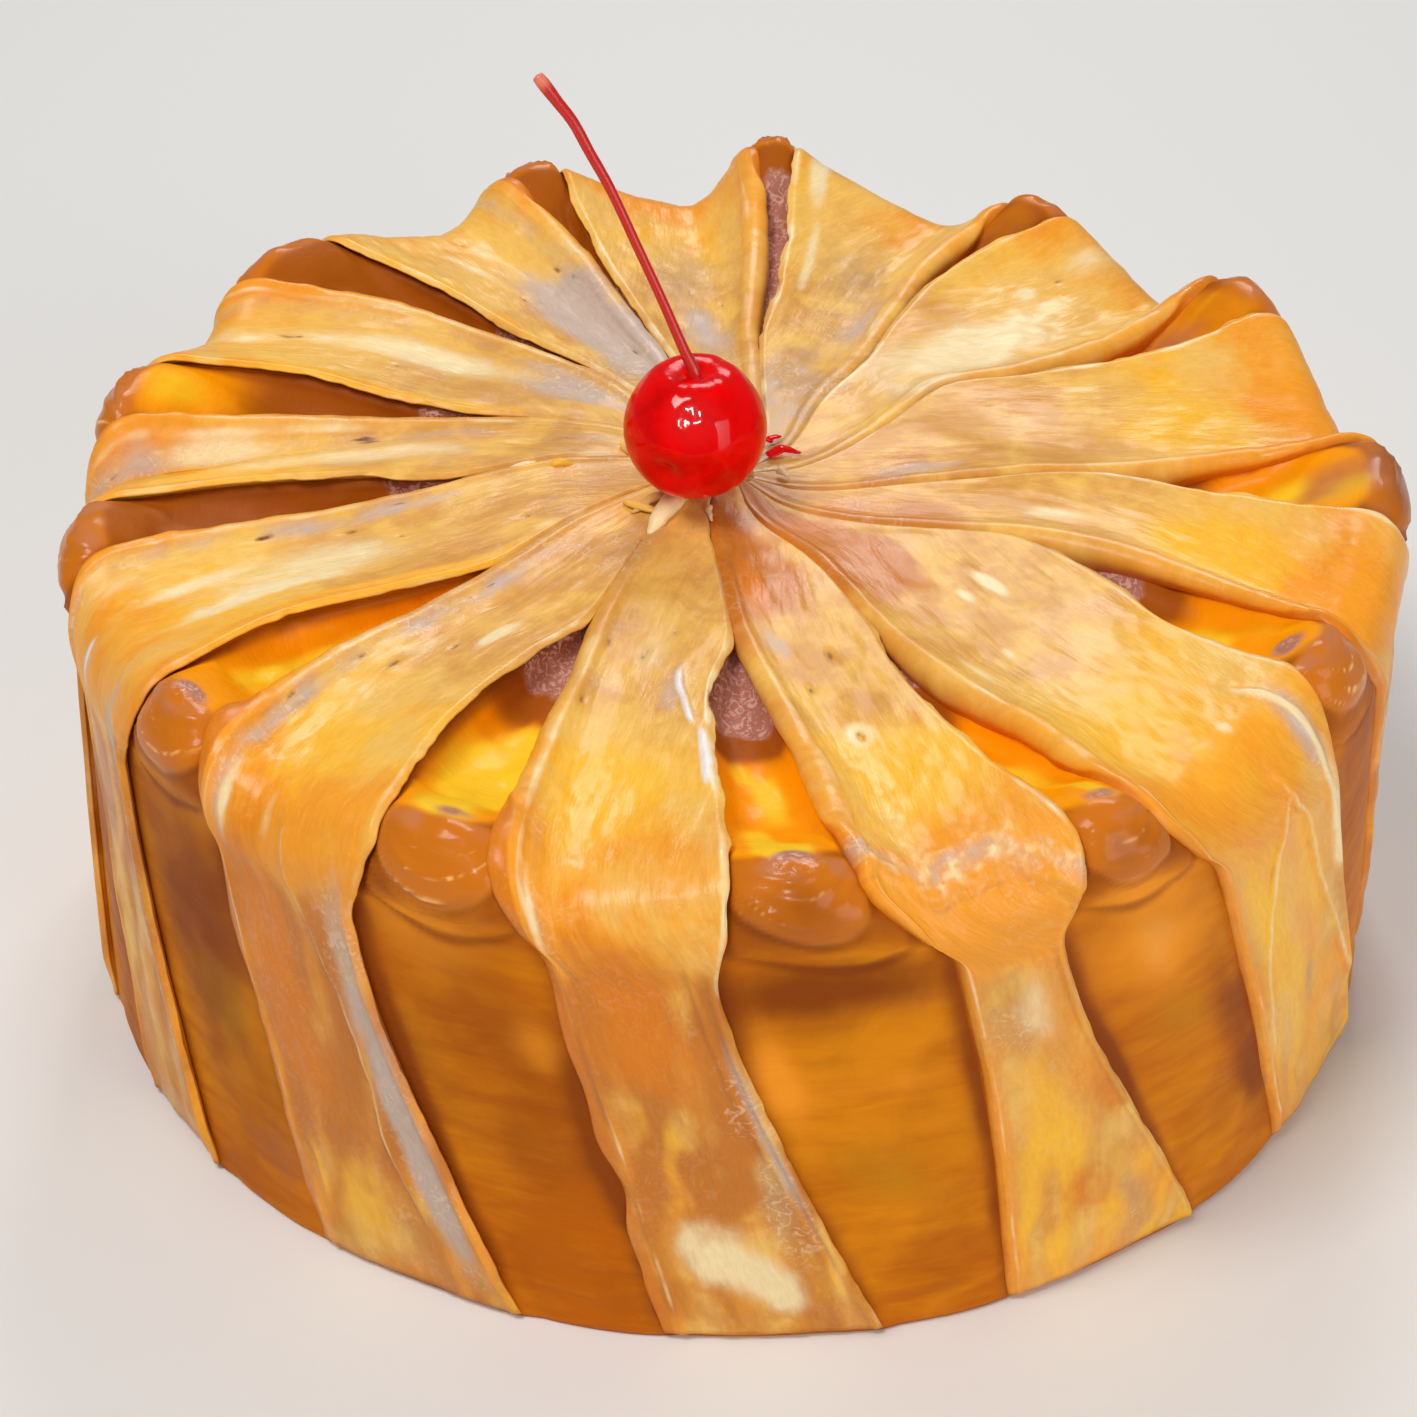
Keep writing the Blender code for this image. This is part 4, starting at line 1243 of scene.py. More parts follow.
        # deep is painted shade: a dark band under the lips, darker panels, the creases under the lip's two
        # steps and the pockets' corners
        deep = bell(s + 0.8 * uneven, 116.0, 3.5) * (0.22 + 0.35 * lumps.at(q * 1.7, 4.5))
        deep = pocket * (deep + panel * 0.26 * (1 + 1.4 * lumps.rough(q * 1.2, s / 20.0)))
        deep = deep + pocket * (0.45 * bell(below, 0.9, 0.7) + 0.4 * bell(below, self.second_roll + 1.0, 0.8))
        second = bell(below, self.second_roll - 0.6, 0.45)
        pale = pale + 0.5 * pocket * second * held(fine.rough(q * 2.6, 3.5))
        corners = bell(share, 0.0, 0.07) + bell(share, 1.0, 0.07)
        deep = deep + pocket * corners * ease((40, 55), s) * (0.85 - 0.45 * ease((100, 108), s))
        brown = pocket * ease((-4, 2), s - mauve_end) * (1 - gold) * (1 - lip) * top
        shape = np.broadcast_shapes(q.shape, s.shape)
        found = {"gold": gold, "mauve": mauve, "lip": lip * 0.9, "rose": rose, "heart": heart, "pale": pale,
                 "deep": deep, "brown": brown, "glow": 0.0, "olive": 0.0}
        for patch in PATCHES:
            off = q - 2 * patch.pocket - patch.share
            spot = spot_at(off, s - patch.along, patch.width, patch.length)
            spot = spot * pocket * (np.abs(off) < 1) * (1 + 0.5 * lumps.rough(q * 3.0 + 7, s / 9.0))
            found[patch.mark] = found[patch.mark] + patch.strength * spot
        return {name: np.clip(np.broadcast_to(value, shape), 0.0, 1.2) for name, value in found.items()}

    def build(self, material: bpy.types.Material) -> bpy.types.Object:
        """Builds and dresses the cake.

        Args:
            material: the caramel.

        Returns:
            The piece.
        """
        q, s = self.grid()
        wide, tall = q[None, :], s[:, None]
        points = self.form.skin(wide, tall)
        points = points + outward(points) * self.relief(wide, tall)[..., None]
        foot = points[-1].copy()
        foot[:, 2] = 0.0
        foot[:, :2] *= 1.0 - self.foot_inset / np.linalg.norm(foot[:, :2], axis=1, keepdims=True)
        points = np.concatenate((points, foot[None], np.zeros_like(foot)[None]))
        points[:, -1] = points[:, 0]
        marks = self.marks(wide, tall)
        marks = {name: np.concatenate((v, v[-1:], v[-1:])) for name, v in marks.items()}
        rows = np.concatenate((s, [s[-1] + 1.0, s[-1] + 100.0]))
        plan = np.stack(np.broadcast_arrays(q[None, :] * 0.24, rows[:, None] / 100.0), axis=-1)
        piece = mapped_mesh("caramel_cake", points, marks, plan)
        dress(piece, material, "caramel_icing", "cake")
        return piece


@dataclass
class CreamBand:
    """One band of cream: a thick soft first edge, a thin ragged second edge, sizes in mm."""

    form: Undercoat
    index: int
    style: BandStyle
    cover: float = 1.95
    side_cover: float = 1.25
    start: float = 2.5
    overhang: float = 0.9
    ragged: float = 0.85
    thin: float = 0.55
    taper_span: tuple = (8.0, 34.0)
    least_taper: float = 0.28
    crest_reach: float = 2.4
    crest_passes: int = 8
    overhang_slope: float = 0.45
    lump: float = 0.50
    small_lump: float = 0.26
    brush: float = 0.07
    side_ridge: float = 0.65
    crest_ridge: float = 0.32
    sink: float = 0.25
    least: float = 0.12
    ground_gap: float = 0.4
    columns: int = 64
    drape_columns: int = 10
    over_columns: int = 7
    under_columns: int = 12

    def build(self, material: bpy.types.Material) -> bpy.types.Object:
        """Builds and dresses the band.

        Args:
            material: the cream.

        Returns:
            The piece.
        """
        form, k = self.form, self.index
        lumps, fine = Wander(100 + k), Wander(200 + k)
        s = spaced((self.start, 40.0, 36), (40.0, 98.0, 76), (98.0, 118.0, 52), (118.0, FOOT - 0.2, 64))
        s = s[:, None]
        first, second = 2.0 * k + 1.0, 2.0 * k + 2.0
        width = form.width(first + 0.5, s)
        before = form.width(first - 0.5, s)
        after = form.width(second + 0.5, s)
        taper = self.least_taper + (1 - self.least_taper) * ease(self.taper_span, s)
        on_side = ease(SIDE_STARTS, s)

        # First edge, draped into the pocket
        hang = np.minimum(self.style.drape * (0.85 + 0.5 * lumps.at(0.5, s / 9.0)), 0.36 * before)
        t = np.linspace(1.0, 0.0, self.drape_columns, endpoint=False)[None, :]
        q_drape = first - hang * t / before
        share = np.linspace(0.0, 1.0, self.columns)[None, :]
        share = share - 0.06 * np.sin(2 * math.pi * share) / math.pi
        q_band = first + np.minimum(share, 1.0 - 1e-6)
        q_band = np.broadcast_to(q_band, (len(s), self.columns))
        top = form.skin(np.concatenate((q_drape, q_band), axis=1), s)

        # Second edge, past the pocket's side
        reach = self.overhang + self.ragged * lumps.rough(3.5, s / 7.0) + 0.3 * fine.at(5.5, s / 2.0)
        reach = np.clip(reach, 0.15, None) * (1 - 0.55 * on_side)
        reach = np.minimum(reach, 0.4 * after)
        way = top[:, -1] - top[:, -3]
        way = way / np.maximum(np.linalg.norm(way, axis=1, keepdims=True), 1e-9)
        level = way.copy()
        level[:, 2] *= self.overhang_slope
        level = level / np.linalg.norm(level, axis=1, keepdims=True)
        t_over = np.linspace(0.0, 1.0, self.over_columns + 1)[1:]
        over = top[:, -1][:, None] + level[:, None] * (reach * t_over)[..., None]
        ground = np.concatenate((top, over), axis=1)

        # Soften the crest of the first edge
        away = np.concatenate((-hang * t, width * share, width + reach * t_over), axis=1)
        soft = bell(away, 0.0, self.crest_reach)[:, 1:-1, None]
        for _ in range(self.crest_passes):
            middle = 0.5 * (ground[:, :-2] + ground[:, 2:])
            ground[:, 1:-1] += soft * 0.5 * (middle - ground[:, 1:-1])
        normal = outward(ground)

        # Thickness, brushed dents and lumps
        across = np.broadcast_to(share, (len(s), self.columns))
        u = np.concatenate((-hang * t / width, across, 1 + reach * t_over / width), axis=1)
        body = np.minimum(1.0, 0.16 + 0.84 * (1.0 - held(-away / hang) ** 1.6))
        rim_side = np.clip((away - width) / np.maximum(reach, 0.1), 0, 1)
        foot = 1.0 - 0.6 * ease((FOOT - 7.0, FOOT), s)
        cover = self.cover + (self.side_cover - self.cover) * on_side
        cover = cover * taper * foot * body * (1 - 0.30 * rim_side)
        edge = ease((0.0, 3.0), width - away)
        ridge = foot * on_side * self.side_ridge * bell(away, width - 0.6, 0.6)
        ridge = ridge + self.crest_ridge * taper * bell(away, 0.7, 0.65)
        big = self.lump * lumps.rough(away / 9.0, s / 12.0)
        lumpy = self.small_lump * fine.rough(away / 3.0 + 40, s / 3.4)
        lumpy = lumpy * ease((66, 78), s) * fall((100, 108), s)
        lines = self.brush * (fine.rough(away / 1.9, s / 13.0) + 0.5 * fine.at(away / 0.9 + 30, s / 4.0))
        relief = taper * (big * edge + lumpy * edge + lines) + ridge
        added, added_marks = self.worked(u, away, width, s, fine)
        height = cover + relief + foot * added
        upper = ground + normal * height[..., None]

        # Underside, back from the second edge to the first
        back = np.linspace(upper.shape[1] - 1, 0, self.under_columns).round().astype(int)
        back = np.unique(np.concatenate((back, [upper.shape[1] - 4, upper.shape[1] - 2])))[::-1]
        inner = np.where(away > width, height - self.thin * (1.0 - 0.5 * rim_side), -self.sink)
        inner = np.where((away > width - 1.5) & (away <= width), height - 1.2, inner)
        inner = np.minimum(inner, height - self.least)
        lower = (ground + normal * inner[..., None])[:, back]
        points = np.concatenate((upper, lower, upper[:, :1]), axis=1)
        points[..., 2] = np.maximum(points[..., 2], self.ground_gap)

        def wrap(values: np.ndarray) -> np.ndarray:
            """Returns the values carried on round the underside."""
            values = np.broadcast_to(values, upper.shape[:2])
            return np.concatenate((values, values[:, back], values[:, :1]), axis=1)

        marks = {name: wrap(value) for name, value in self.marks(u, away, width, s, added_marks).items()}
        plan = np.stack(np.broadcast_arrays(wrap(away) / 100.0, s / 100.0), axis=-1)
        piece = mapped_mesh(f"cream_{k + 1:02d}", points, marks, plan)
        dress(piece, material, "cream_icing", f"cream_band_{k + 1:02d}")
        return piece

    def worked(self, u: np.ndarray, away: np.ndarray, width: np.ndarray, s: np.ndarray,
               fine: Wander) -> tuple:
        """Raises the band's folds and torn edges, and dents its pits.

        Args:
            u: share across.
            away: mm from the first edge.
            width: the band's width in mm at each row.
            s: distance along.
            fine: the band's fine unevenness.

        Returns:
            Heights, and marks by tone name.
        """
        height = np.zeros(u.shape)
        marks = {tone.value: np.zeros(u.shape) for tone in Tone}

        def tint(tone: Tone, value: np.ndarray) -> None:
            """Keeps the stronger of a tone's marks."""
            marks[tone.value] = np.maximum(marks[tone.value], value)

        for fold in self.style.folds:
            along = np.array([p[0] for p in fold.points])
            line = np.interp(s[:, 0], along, [p[1] for p in fold.points])[:, None]
            ends = ease((along[0] - 4, along[0] + 4), s) * fall((along[-1] - 4, along[-1] + 4), s)
            off = (u - line) * width + 0.4 * fine.at(3.3, s / 4.0)
            crest = np.exp(-((off / fold.width) ** 2))
            shape = crest
            if fold.ledge:
                step = 1.0 / (1.0 + np.exp(-np.clip(off / fold.width * 4.0, -30, 30)))
                shape = step * np.exp(-np.maximum(off, 0) / (fold.width * 8.0))
                # painted highlight on the ledge's edge, and painted shadow just below it
                tint(Tone.PALE, 0.55 * ends * bell(off, 0.5, 0.5))
                tint(Tone.BROWN, 0.35 * ends * bell(off, -0.5, 0.5))
            height = height + fold.height * shape * ends
            if fold.tone is not None:
                tint(fold.tone, crest * ends)
        for tear in self.style.tears:
            edge = np.interp(np.clip(u, 0, 1), [p[0] for p in tear.points], [p[1] for p in tear.points])
            ragged = tear.ragged * fine.rough(u * 5.0 + 3, 0.5)
            past = s - edge - ragged - 0.2 * tear.ragged * fine.at(u * 17.0, 7.5)
            step = 1.0 / (1.0 + np.exp(np.clip(past / 0.25, -30, 30)))
            body = step * np.exp(-np.maximum(-past, 0) / tear.fade)
            height = height + body * (tear.height + 0.18 * tear.height * fine.at(u * 15.0, s / 6.0))
            strong = min(tear.height, 1.0)
            creased = fine.rough(u * width / 1.5, s / 1.1)
            height = height + 0.42 * strong * bell(past, -2.8, 2.2) * creased
            # painted wet highlights: pale on the wrinkled torn edge, and lilac, which also calls up the
            # painted sheen; painted shadow: brown just past the edge
            wrinkled = bell(past, -2.4, 2.4) * held(0.55 + 0.9 * creased)
            tint(Tone.PALE, 0.70 * strong * wrinkled)
            tint(Tone.LILAC, 0.75 * strong * bell(past, -3.0, 2.6) * held(0.8 - 0.6 * creased))
            tint(Tone.WARM, 0.9 * strong * bell(past, -2.0, 5.0))
            tint(Tone.BROWN, 0.35 * strong * bell(past, 0.9, 0.6))
        for pit in self.style.pits:
            x, y = away - pit.share * width, s - pit.along
            core = spot_at(x, y, pit.width, pit.length)
            ring = spot_at(x, y, pit.width + 1.3, pit.length + 1.3)
            height = height - 0.45 * core
            tint(Tone.PALE, pit.ring * 1.3 * ring * (1 - core))
            # painted shade in the dent
            tint(Tone.BROWN, 0.75 * core * np.clip(0.8 + 0.8 * fine.at(away * 1.3, s * 0.9), 0, 1.1))
        return height, marks

    def marks(self, u: np.ndarray, away: np.ndarray, width: np.ndarray, s: np.ndarray,
              added: dict) -> dict:
        """Finds where each tone lies on the band.

        Args:
            u: share across.
            away: mm from the first edge.
            width: the band's width in mm at each row.
            s: distance along.
            added: marks that the folds, torn edges and pits bring.

        Returns:
            Values by attribute name.
        """
        style = self.style
        lumps, other = Wander(300 + self.index), Wander(400 + self.index)
        uneven = lumps.rough(away / 9.0, s / 14.0)
        patchy = other.rough(away / 6.0 + 3, s / 8.0)
        swirl = np.sin(2 * math.pi * (away / 9.0 + s / 42.0 + 0.9 * lumps.rough(away / 13.0 + 7, s / 26.0)))
        side = ease((108, 120), s)
        low = ease((136, 168), s)
        inner = 1 - ease((22, 66), s + 12 * uneven)
        outer = ease((62, 84), s + 6 * uneven)
        found = {tone.value: np.zeros(u.shape) for tone in Tone}
        found["tan"] = 0.60 + 0.40 * patchy - 0.55 * outer * (1 - side) + side * (0.15 + 0.25 * swirl)
        # grey and lilac: greyer cream near the eye, and on the far bands partly a painted sheen of the light
        # from behind
        found["grey"] += style.grey * inner * (0.50 + 0.45 * patchy)
        found["grey"] += style.side_grey * side * (1 - 0.5 * low) * (0.42 + 0.25 * swirl + 0.15 * patchy)
        strewn = held(0.2 + 0.9 * other.rough(away / 5.0 + 30, s / 9.0))
        found["lilac"] += style.lilac * inner * strewn
        found["lilac"] += 0.15 * side * held(other.rough(away / 5.0 + 50, s / 16.0))
        near_rim, farther_in = ease((82, 108), s + 9 * uneven), ease((52, 78), s + 10 * uneven)
        found["warm"] += style.warm * near_rim * (1 - 0.75 * side) * (0.75 + 0.3 * patchy)
        found["warm"] += style.warm * 0.3 * farther_in * (1 - side) * (0.6 + 0.8 * patchy)
        found["toffee"] += style.toffee * side * (0.68 + 0.30 * swirl + 0.35 * uneven) * (1 - 0.30 * low)
        found["warm"] += 0.45 * side * (0.6 + uneven)
        found["gold"] += 0.95 * style.warm * outer * (1 - side) * (0.55 + 0.7 * patchy)
        found["gold"] += style.side_gold * low * (0.5 + 0.4 * swirl)
        soft = ease((26, 52), s)
        found["caramel"] += 0.95 * ease((0.05, 0.9), -away) * soft * (1 - 0.3 * side)
        found["warm"] += 0.45 * bell(away, -0.4, 1.8) * soft
        # painted highlights: a pale line on the first edge's crest, and a thin pale rim on the second edge
        crest_line = held(0.55 + 0.9 * lumps.rough(s / 9.0, 9.5))
        found["pale"] += 0.62 * bell(away, 0.6, 0.42) * soft * crest_line
        thin_rim = bell(away - width, 0.2, 0.6) * held(0.35 + 0.8 * lumps.rough(s / 9.0, 2.5))
        found["pale"] += thin_rim * (1 - 0.45 * side)
        fan = style.fan * (1 - ease((34, 54), s + 9 * uneven)) * (0.95 + 0.5 * patchy)
        found["toffee"] += fan * (1 - ease((0.55, 1.05), u + s / 160.0))
        golden = style.golden * bell(away - width, -0.6, 1.7) * soft * (0.8 + 0.5 * patchy)
        found["gold"] += golden
        found["warm"] += 0.5 * golden
        found["pale"] *= 1 - 0.8 * held(golden)
        streaked = style.streaked * bell(away, 2.6, 2.4) * soft * (1 - side)
        found["lilac"] += 0.95 * streaked * (0.8 + 0.6 * patchy)
        dashes = held(other.rough(away / 0.75, s / 5.0) - 0.30)
        found["brown"] += 1.6 * dashes * (streaked + 0.35 * style.streaked * inner * (1 - side))
        found["caramel"] += 0.5 * bell(away - width, -2.6, 1.5) * held(lumps.at(s / 9.0, 5.5)) * soft
        for touch in style.touches:
            x = away - touch.share * width
            y = s - touch.along
            spot = spot_at(x, y, touch.width, touch.length)
            found[touch.tone.value] += touch.strength * spot * (1 + 0.35 * patchy)
        for name, value in added.items():
            found[name] = np.maximum(found[name], value)
        return {name: np.clip(value, 0.0, 1.2) for name, value in found.items()}


@dataclass
class Cherry:
    """The candied cherry, a little lumpy and dimpled where its stem enters, in mm."""

    radius: float = 11.65
    centre: tuple = (-6.5, -5.6, 99.4)
    dimple: float = 2.2
    spread: float = 0.30
    cleft: tuple = (-0.41, -0.89, -0.205)
    cleft_depth: float = 1.5
    uneven: float = 0.45
    squash: float = 0.985
    glare_way: tuple = (-0.02, -0.80, 0.60)
    ripple: float = 0.16

    def build(self, material: bpy.types.Material) -> bpy.types.Object:
        """Builds and dresses the cherry.

        Args:
            material: its skin.

        Returns:
            The piece.
        """
        bpy.ops.object.select_all(action="DESELECT")
        bpy.ops.mesh.primitive_uv_sphere_add(segments=128, ring_count=80, radius=self.radius * MM)
        piece = bpy.context.object
        piece.name = piece.data.name = "candied_cherry"
        lumps = Wander(5)
        flat = np.empty(len(piece.data.vertices) * 3, np.float32)
        piece.data.vertices.foreach_get("co", flat)
        way = flat.reshape(-1, 3) / (self.radius * MM)
        off_pole = np.arccos(np.clip(way[:, 2], -1, 1))
        turn = np.arctan2(way[:, 1], way[:, 0])
        dip = self.dimple * bell(off_pole, 0.0, self.spread) - 0.35 * bell(off_pole, 0.62, 0.2)
        around = self.uneven * lumps.at(2.4 * np.cos(turn) + 40, 2.4 * np.sin(turn) + off_pole * 1.5)
        off_cleft = np.arccos(np.clip(way @ (np.array(self.cleft) / np.linalg.norm(self.cleft)), -1, 1))
        dip = dip + self.cleft_depth * bell(off_cleft, 0.0, 0.20) - 0.3 * bell(off_cleft, 0.42, 0.16)
        glare = bell(np.arccos(np.clip(way @ np.array(self.glare_way), -1, 1)), 0.0, 0.40)
        ripples = self.ripple * glare * lumps.rough(way[:, 0] * 9.0 + 20, way[:, 2] * 9.0 + 20, 2)
        size = self.radius - dip + around * np.sin(off_pole) + ripples
        points = way * size[:, None]
        points[:, 2] *= self.squash
        points += np.array(self.centre)
        piece.data.vertices.foreach_set("co", (points * MM).astype(np.float32).ravel())
        piece.data.update()
        wet = piece.data.attributes.new("wet", "FLOAT", "POINT")
        wet.data.foreach_set("value", glare.astype(np.float32))
        bpy.ops.object.shade_smooth()
        dress(piece, material, "cherry_skin", "cherry")
        return piece


def tube(line: np.ndarray, radius: np.ndarray, up: tuple, around: int, flat: float = 1.0) -> tuple:
    """Sweeps a ring along a line.

    Args:
        line: points, one row each.
        radius: the ring's radius at each.
        up: a direction that the line doesn't run in.
        around: corners of the ring.
        flat: the ring's height over its width.

    Returns:
        Points, rows by columns by three, and the columns' angles.
    """
    way = np.gradient(line, axis=0)
    way /= np.maximum(np.linalg.norm(way, axis=1, keepdims=True), 1e-9)
    side = np.cross(way, up)
    side /= np.maximum(np.linalg.norm(side, axis=1, keepdims=True), 1e-9)
    third = np.cross(side, way)
    turn = np.linspace(0, 2 * math.pi, around + 1)
    ring = np.cos(turn)[None, :, None] * side[:, None] + flat * np.sin(turn)[None, :, None] * third[:, None]
    points = line[:, None] + ring * radius[:, None, None]
    points[:, -1] = points[:, 0]
    return points, turn


@dataclass(frozen=True)
class Curl:
    """A small soft bit that lies on the cake: its ends' places (q, mm along), sizes and lift in mm."""

    base: tuple
    tip: tuple
    radius: float
    lift: float = 0.8
    tip_lift: float = 0.2
    flat: float = 0.6
    tones: tuple = ()


@dataclass
class Curls:
    """Small bits that lie about the cherry, joined into one piece."""

    form: Undercoat
    name: str
    slot: str
    curls: tuple
    over: float = 1.3
    around: int = 18
    along: int = 28

    def bit(self, number: int, curl: Curl) -> bpy.types.Object:
        """Builds one bit as a bent, tapering and uneven tube.

        Args:
            number: its number, which seeds its unevenness.
            curl: its sizes.

        Returns:
            The closed bit.
        """
        uneven = Wander(700 + number)
        at = np.linspace(0.0, 1.0, self.along)
        q = curl.base[0] + (curl.tip[0] - curl.base[0]) * at
        s = curl.base[1] + (curl.tip[1] - curl.base[1]) * at
        line = self.form.skin(q, s)
        line[:, 2] += self.over + curl.lift * np.sin(math.pi * np.minimum(at * 1.2, 1.0)) + curl.tip_lift * at
        line[:, 0] += 0.4 * uneven.at(at * 3.0, 1.5)
        radius = curl.radius * np.sqrt(held(1.0 - (2 * np.abs(at - 0.42)) ** 3)) * (1.0 - 0.45 * at)
        radius = radius * (1 + 0.25 * uneven.rough(at * 4.0, 0.5))
        radius[0] = radius[-1] = 0.0
        points, turn = tube(line, radius, (0.0, 0.0, 1.0), self.around, curl.flat)
        values = {tone.value: 0.75 * (tone in curl.tones) for tone in Tone} | {"wet": 0.3, "tan": 0.2}
        marks = {name: np.full(points.shape[:2], value) for name, value in values.items()}
        plan = np.stack(np.broadcast_arrays(turn[None, :] * curl.radius / 100.0, at[:, None] * 0.08), axis=-1)
        return mapped_mesh(f"{self.name}_{number}", points, marks, plan)

    def build(self, material: bpy.types.Material) -> bpy.types.Object:
        """Builds, joins and dresses the bits.

        Args:
            material: what they are made of.

        Returns:
            The piece.
        """
        bits = [self.bit(number, curl) for number, curl in enumerate(self.curls)]
        bpy.ops.object.select_all(action="DESELECT")
        for bit in bits:
            bit.select_set(True)
        bpy.context.view_layer.objects.active = bits[0]
        bpy.ops.object.join()
        piece = bpy.context.object
        piece.name = piece.data.name = self.name
        dress(piece, material, self.slot)
        return piece


# Places are pocket and share, so 19.0 is the first edge of the tenth band
CREAM_CURLS = (
    Curl((19.15, 13.0), (18.98, 25.0), 2.1, 0.9, 0.1, 0.8, (Tone.PALE,)),
    Curl((17.9, 15.0), (17.5, 22.0), 1.3, 0.7, 0.2, 0.6, (Tone.GREY,)),
    Curl((17.2, 20.0), (18.3, 19.0), 1.1, 0.5, 0.1, 0.6, ()),
    Curl((14.1, 19.0), (13.6, 21.5), 0.7, 0.8, 0.3, 0.8, ()),
    Curl((15.05, 31.0), (15.12, 26.5), 1.1, 0.5, 0.1, 0.7, (Tone.GOLD,)),
    Curl((15.0, 33.0), (14.98, 39.0), 0.8, 0.3, 0.1, 0.7, (Tone.PALE,)),
    Curl((20.6, 14.0), (20.5, 17.5), 0.6, 0.3, 0.1, 0.9, (Tone.PALE,)),
    Curl((1.6, 7.0), (1.3, 9.5), 0.7, 0.4, 0.1, 0.9, (Tone.PALE,)),
)
CHERRY_SCRAPS = (
    Curl((4.6, 7.5), (3.2, 13.5), 1.3, 0.5, 0.2, 0.4),
    Curl((5.8, 11.0), (5.3, 14.5), 0.9, 0.3, 0.2, 0.4),
)


@dataclass
class Stem:
    """The cherry's stem: points and radii in mm, from its dimple to its club."""

    points: tuple = (
        (-6.4, -5.2, 107.4, 1.20), (-6.6, -5.0, 109.4, 1.05), (-8.4, -3.8, 113.1, 0.86),
        (-11.7, -1.5, 120.4, 0.78), (-15.4, 1.0, 128.1, 0.78), (-19.5, 3.7, 136.6, 0.80),
        (-22.8, 5.5, 142.3, 0.84), (-25.3, 6.9, 146.7, 0.88), (-27.8, 7.9, 149.8, 0.96),
        (-29.8, 8.7, 152.3, 1.04), (-30.9, 9.1, 153.6, 0.92),
    )
    around: int = 20
    along: int = 120

    def build(self, material: bpy.types.Material) -> bpy.types.Object:
        """Builds and dresses the stem.

        Args:
            material: its skin.

        Returns:
            The piece.
        """
        given = np.array(self.points)
        steps = np.arange(len(given))
        at = np.linspace(0, len(given) - 1, self.along)
        line = np.stack([smooth_curve(tuple(steps), given[:, i], at) for i in range(4)], axis=1)
        radius = line[:, 3] * (1 + 0.05 * Wander(8).rough(at * 2.0, 0.5))
        radius[0] = radius[-1] = 0.0
        radius[1] *= 0.8
        radius[-2] *= 0.75
        points, turn = tube(line[:, :3], radius, (0.0, 1.0, 0.0), self.around)
        tip = np.broadcast_to(ease((0.78, 0.98), at / at[-1])[:, None], points.shape[:2])
        plan = np.stack(np.broadcast_arrays(turn[None, :] / 60.0, at[:, None] / 20.0), axis=-1)
        piece = mapped_mesh("stem", points, {"tip": tip}, plan)
        dress(piece, material, "stem_skin", "cherry_stem")
        return piece


@dataclass(frozen=True)
class Lamp:
    """A soft square light: place, what it faces, side in metres, power in watts and colour."""

    name: str
    place: tuple
    side: float
    power: float
    colour: tuple = (1.0, 1.0, 1.0)
    aim: tuple = (0.0, 0.0, 0.05)


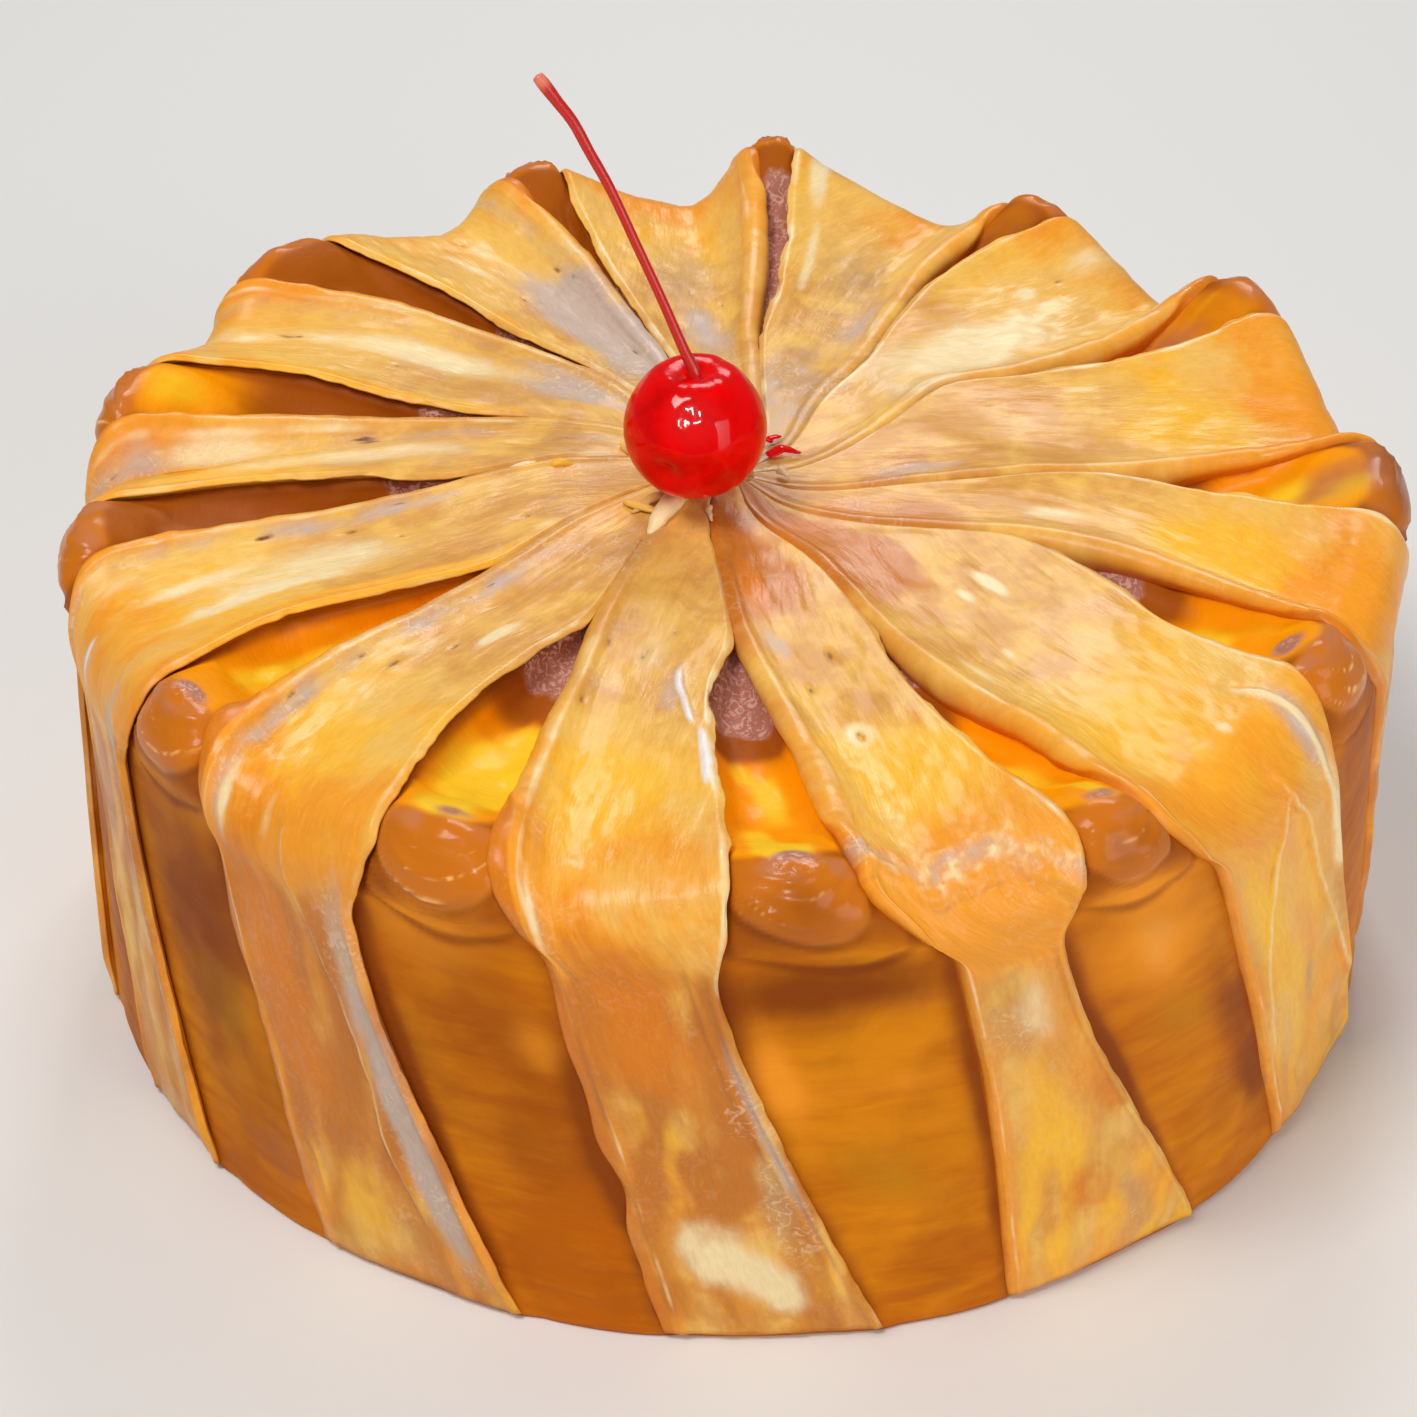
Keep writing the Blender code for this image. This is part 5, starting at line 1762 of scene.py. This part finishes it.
@dataclass(frozen=True)
class Studio:
    """Plain pale floor, soft lights and the camera of the photograph."""

    lens: float = 80.944
    sensor: float = 36.0
    elevation: float = 35.1494
    distance: float = 0.55
    aim: tuple = (-0.0043, 0.0, 0.0403)
    floor_side: float = 8.0
    floor_colour: tuple = (0.80, 0.79, 0.77)
    floor_shade: tuple = (0.76, 0.75, 0.73)
    room_colour: tuple = (0.95, 0.97, 1.0)
    room_light: float = 0.20
    lamps: tuple = (
        Lamp("key", (-0.45, -0.40, 1.20), 0.50, 9.8, (1.0, 0.98, 0.95)),
        Lamp("fill", (0.85, -0.95, 0.42), 0.80, 6.5),
        Lamp("back", (0.10, 0.95, 0.95), 0.42, 5.5),
        Lamp("front", (-0.02, -0.62, 0.56), 0.06, 0.40),
    )

    def build(self) -> None:
        """Adds the floor, the lights and the camera."""
        bpy.ops.object.select_all(action="DESELECT")
        bpy.ops.mesh.primitive_plane_add(size=self.floor_side)
        floor = bpy.context.object
        floor.name = "floor"
        material, tree, shader = new_material("pale_floor")
        place = tree.place()
        tint = tree.fit(tree.noise(place, 4.0), 0.3, 0.7, 0.98, 1.0)
        colour = tree.blend(tint, self.floor_shade, self.floor_colour)
        tree.fill(shader, {"Base Color": colour, "Roughness": 0.7})
        floor.data.materials.append(material)
        for lamp in self.lamps:
            bpy.ops.object.light_add(type="AREA", location=lamp.place)
            light = bpy.context.object
            light.name = light.data.name = lamp.name
            light.data.shape = "SQUARE"
            light.data.size = lamp.side
            light.data.energy = lamp.power
            light.data.color = lamp.colour
            facing = Vector(lamp.aim) - Vector(lamp.place)
            light.rotation_euler = facing.to_track_quat("-Z", "Y").to_euler()
        world = bpy.data.worlds.new("soft room")
        world.use_nodes = True
        background = world.node_tree.nodes["Background"]
        Tree(world.node_tree).fill(background, {"Color": self.room_colour, "Strength": self.room_light})
        bpy.context.scene.world = world
        bpy.context.scene.view_settings.view_transform = "Standard"
        tilt = math.radians(self.elevation)
        back = Vector((0.0, -math.cos(tilt), math.sin(tilt)))
        bpy.ops.object.camera_add(location=Vector(self.aim) + back * self.distance)
        camera = bpy.context.object
        camera.name = "camera"
        right = Vector((1.0, 0.0, 0.0))
        up = back.cross(right)
        camera.rotation_euler = Matrix((right, up, back)).transposed().to_euler()
        camera.data.lens = self.lens
        camera.data.sensor_width = self.sensor
        camera.data.sensor_fit = "HORIZONTAL"
        camera.data.clip_start = 0.01
        bpy.context.scene.camera = camera


def main() -> None:
    """Builds the cake and its studio."""
    logging.basicConfig(level=logging.INFO, format="%(message)s")
    Studio().build()
    grain, streaks = grain_group(), streak_group()
    form = Undercoat()
    CaramelCake(form).build(CaramelFinish().make(grain, streaks))
    cream = CreamFinish().make(grain, streaks)
    for index, style in enumerate(STYLES):
        CreamBand(form, index, style).build(cream)
    skin = CherryFinish().make(grain)
    Cherry().build(skin)
    Curls(form, "cream_curls", "cream_icing", CREAM_CURLS).build(cream)
    Curls(form, "cherry_scraps", "cherry_skin", CHERRY_SCRAPS).build(skin)
    Stem().build(StemFinish().make(grain))


if __name__ == "__main__":
    main()
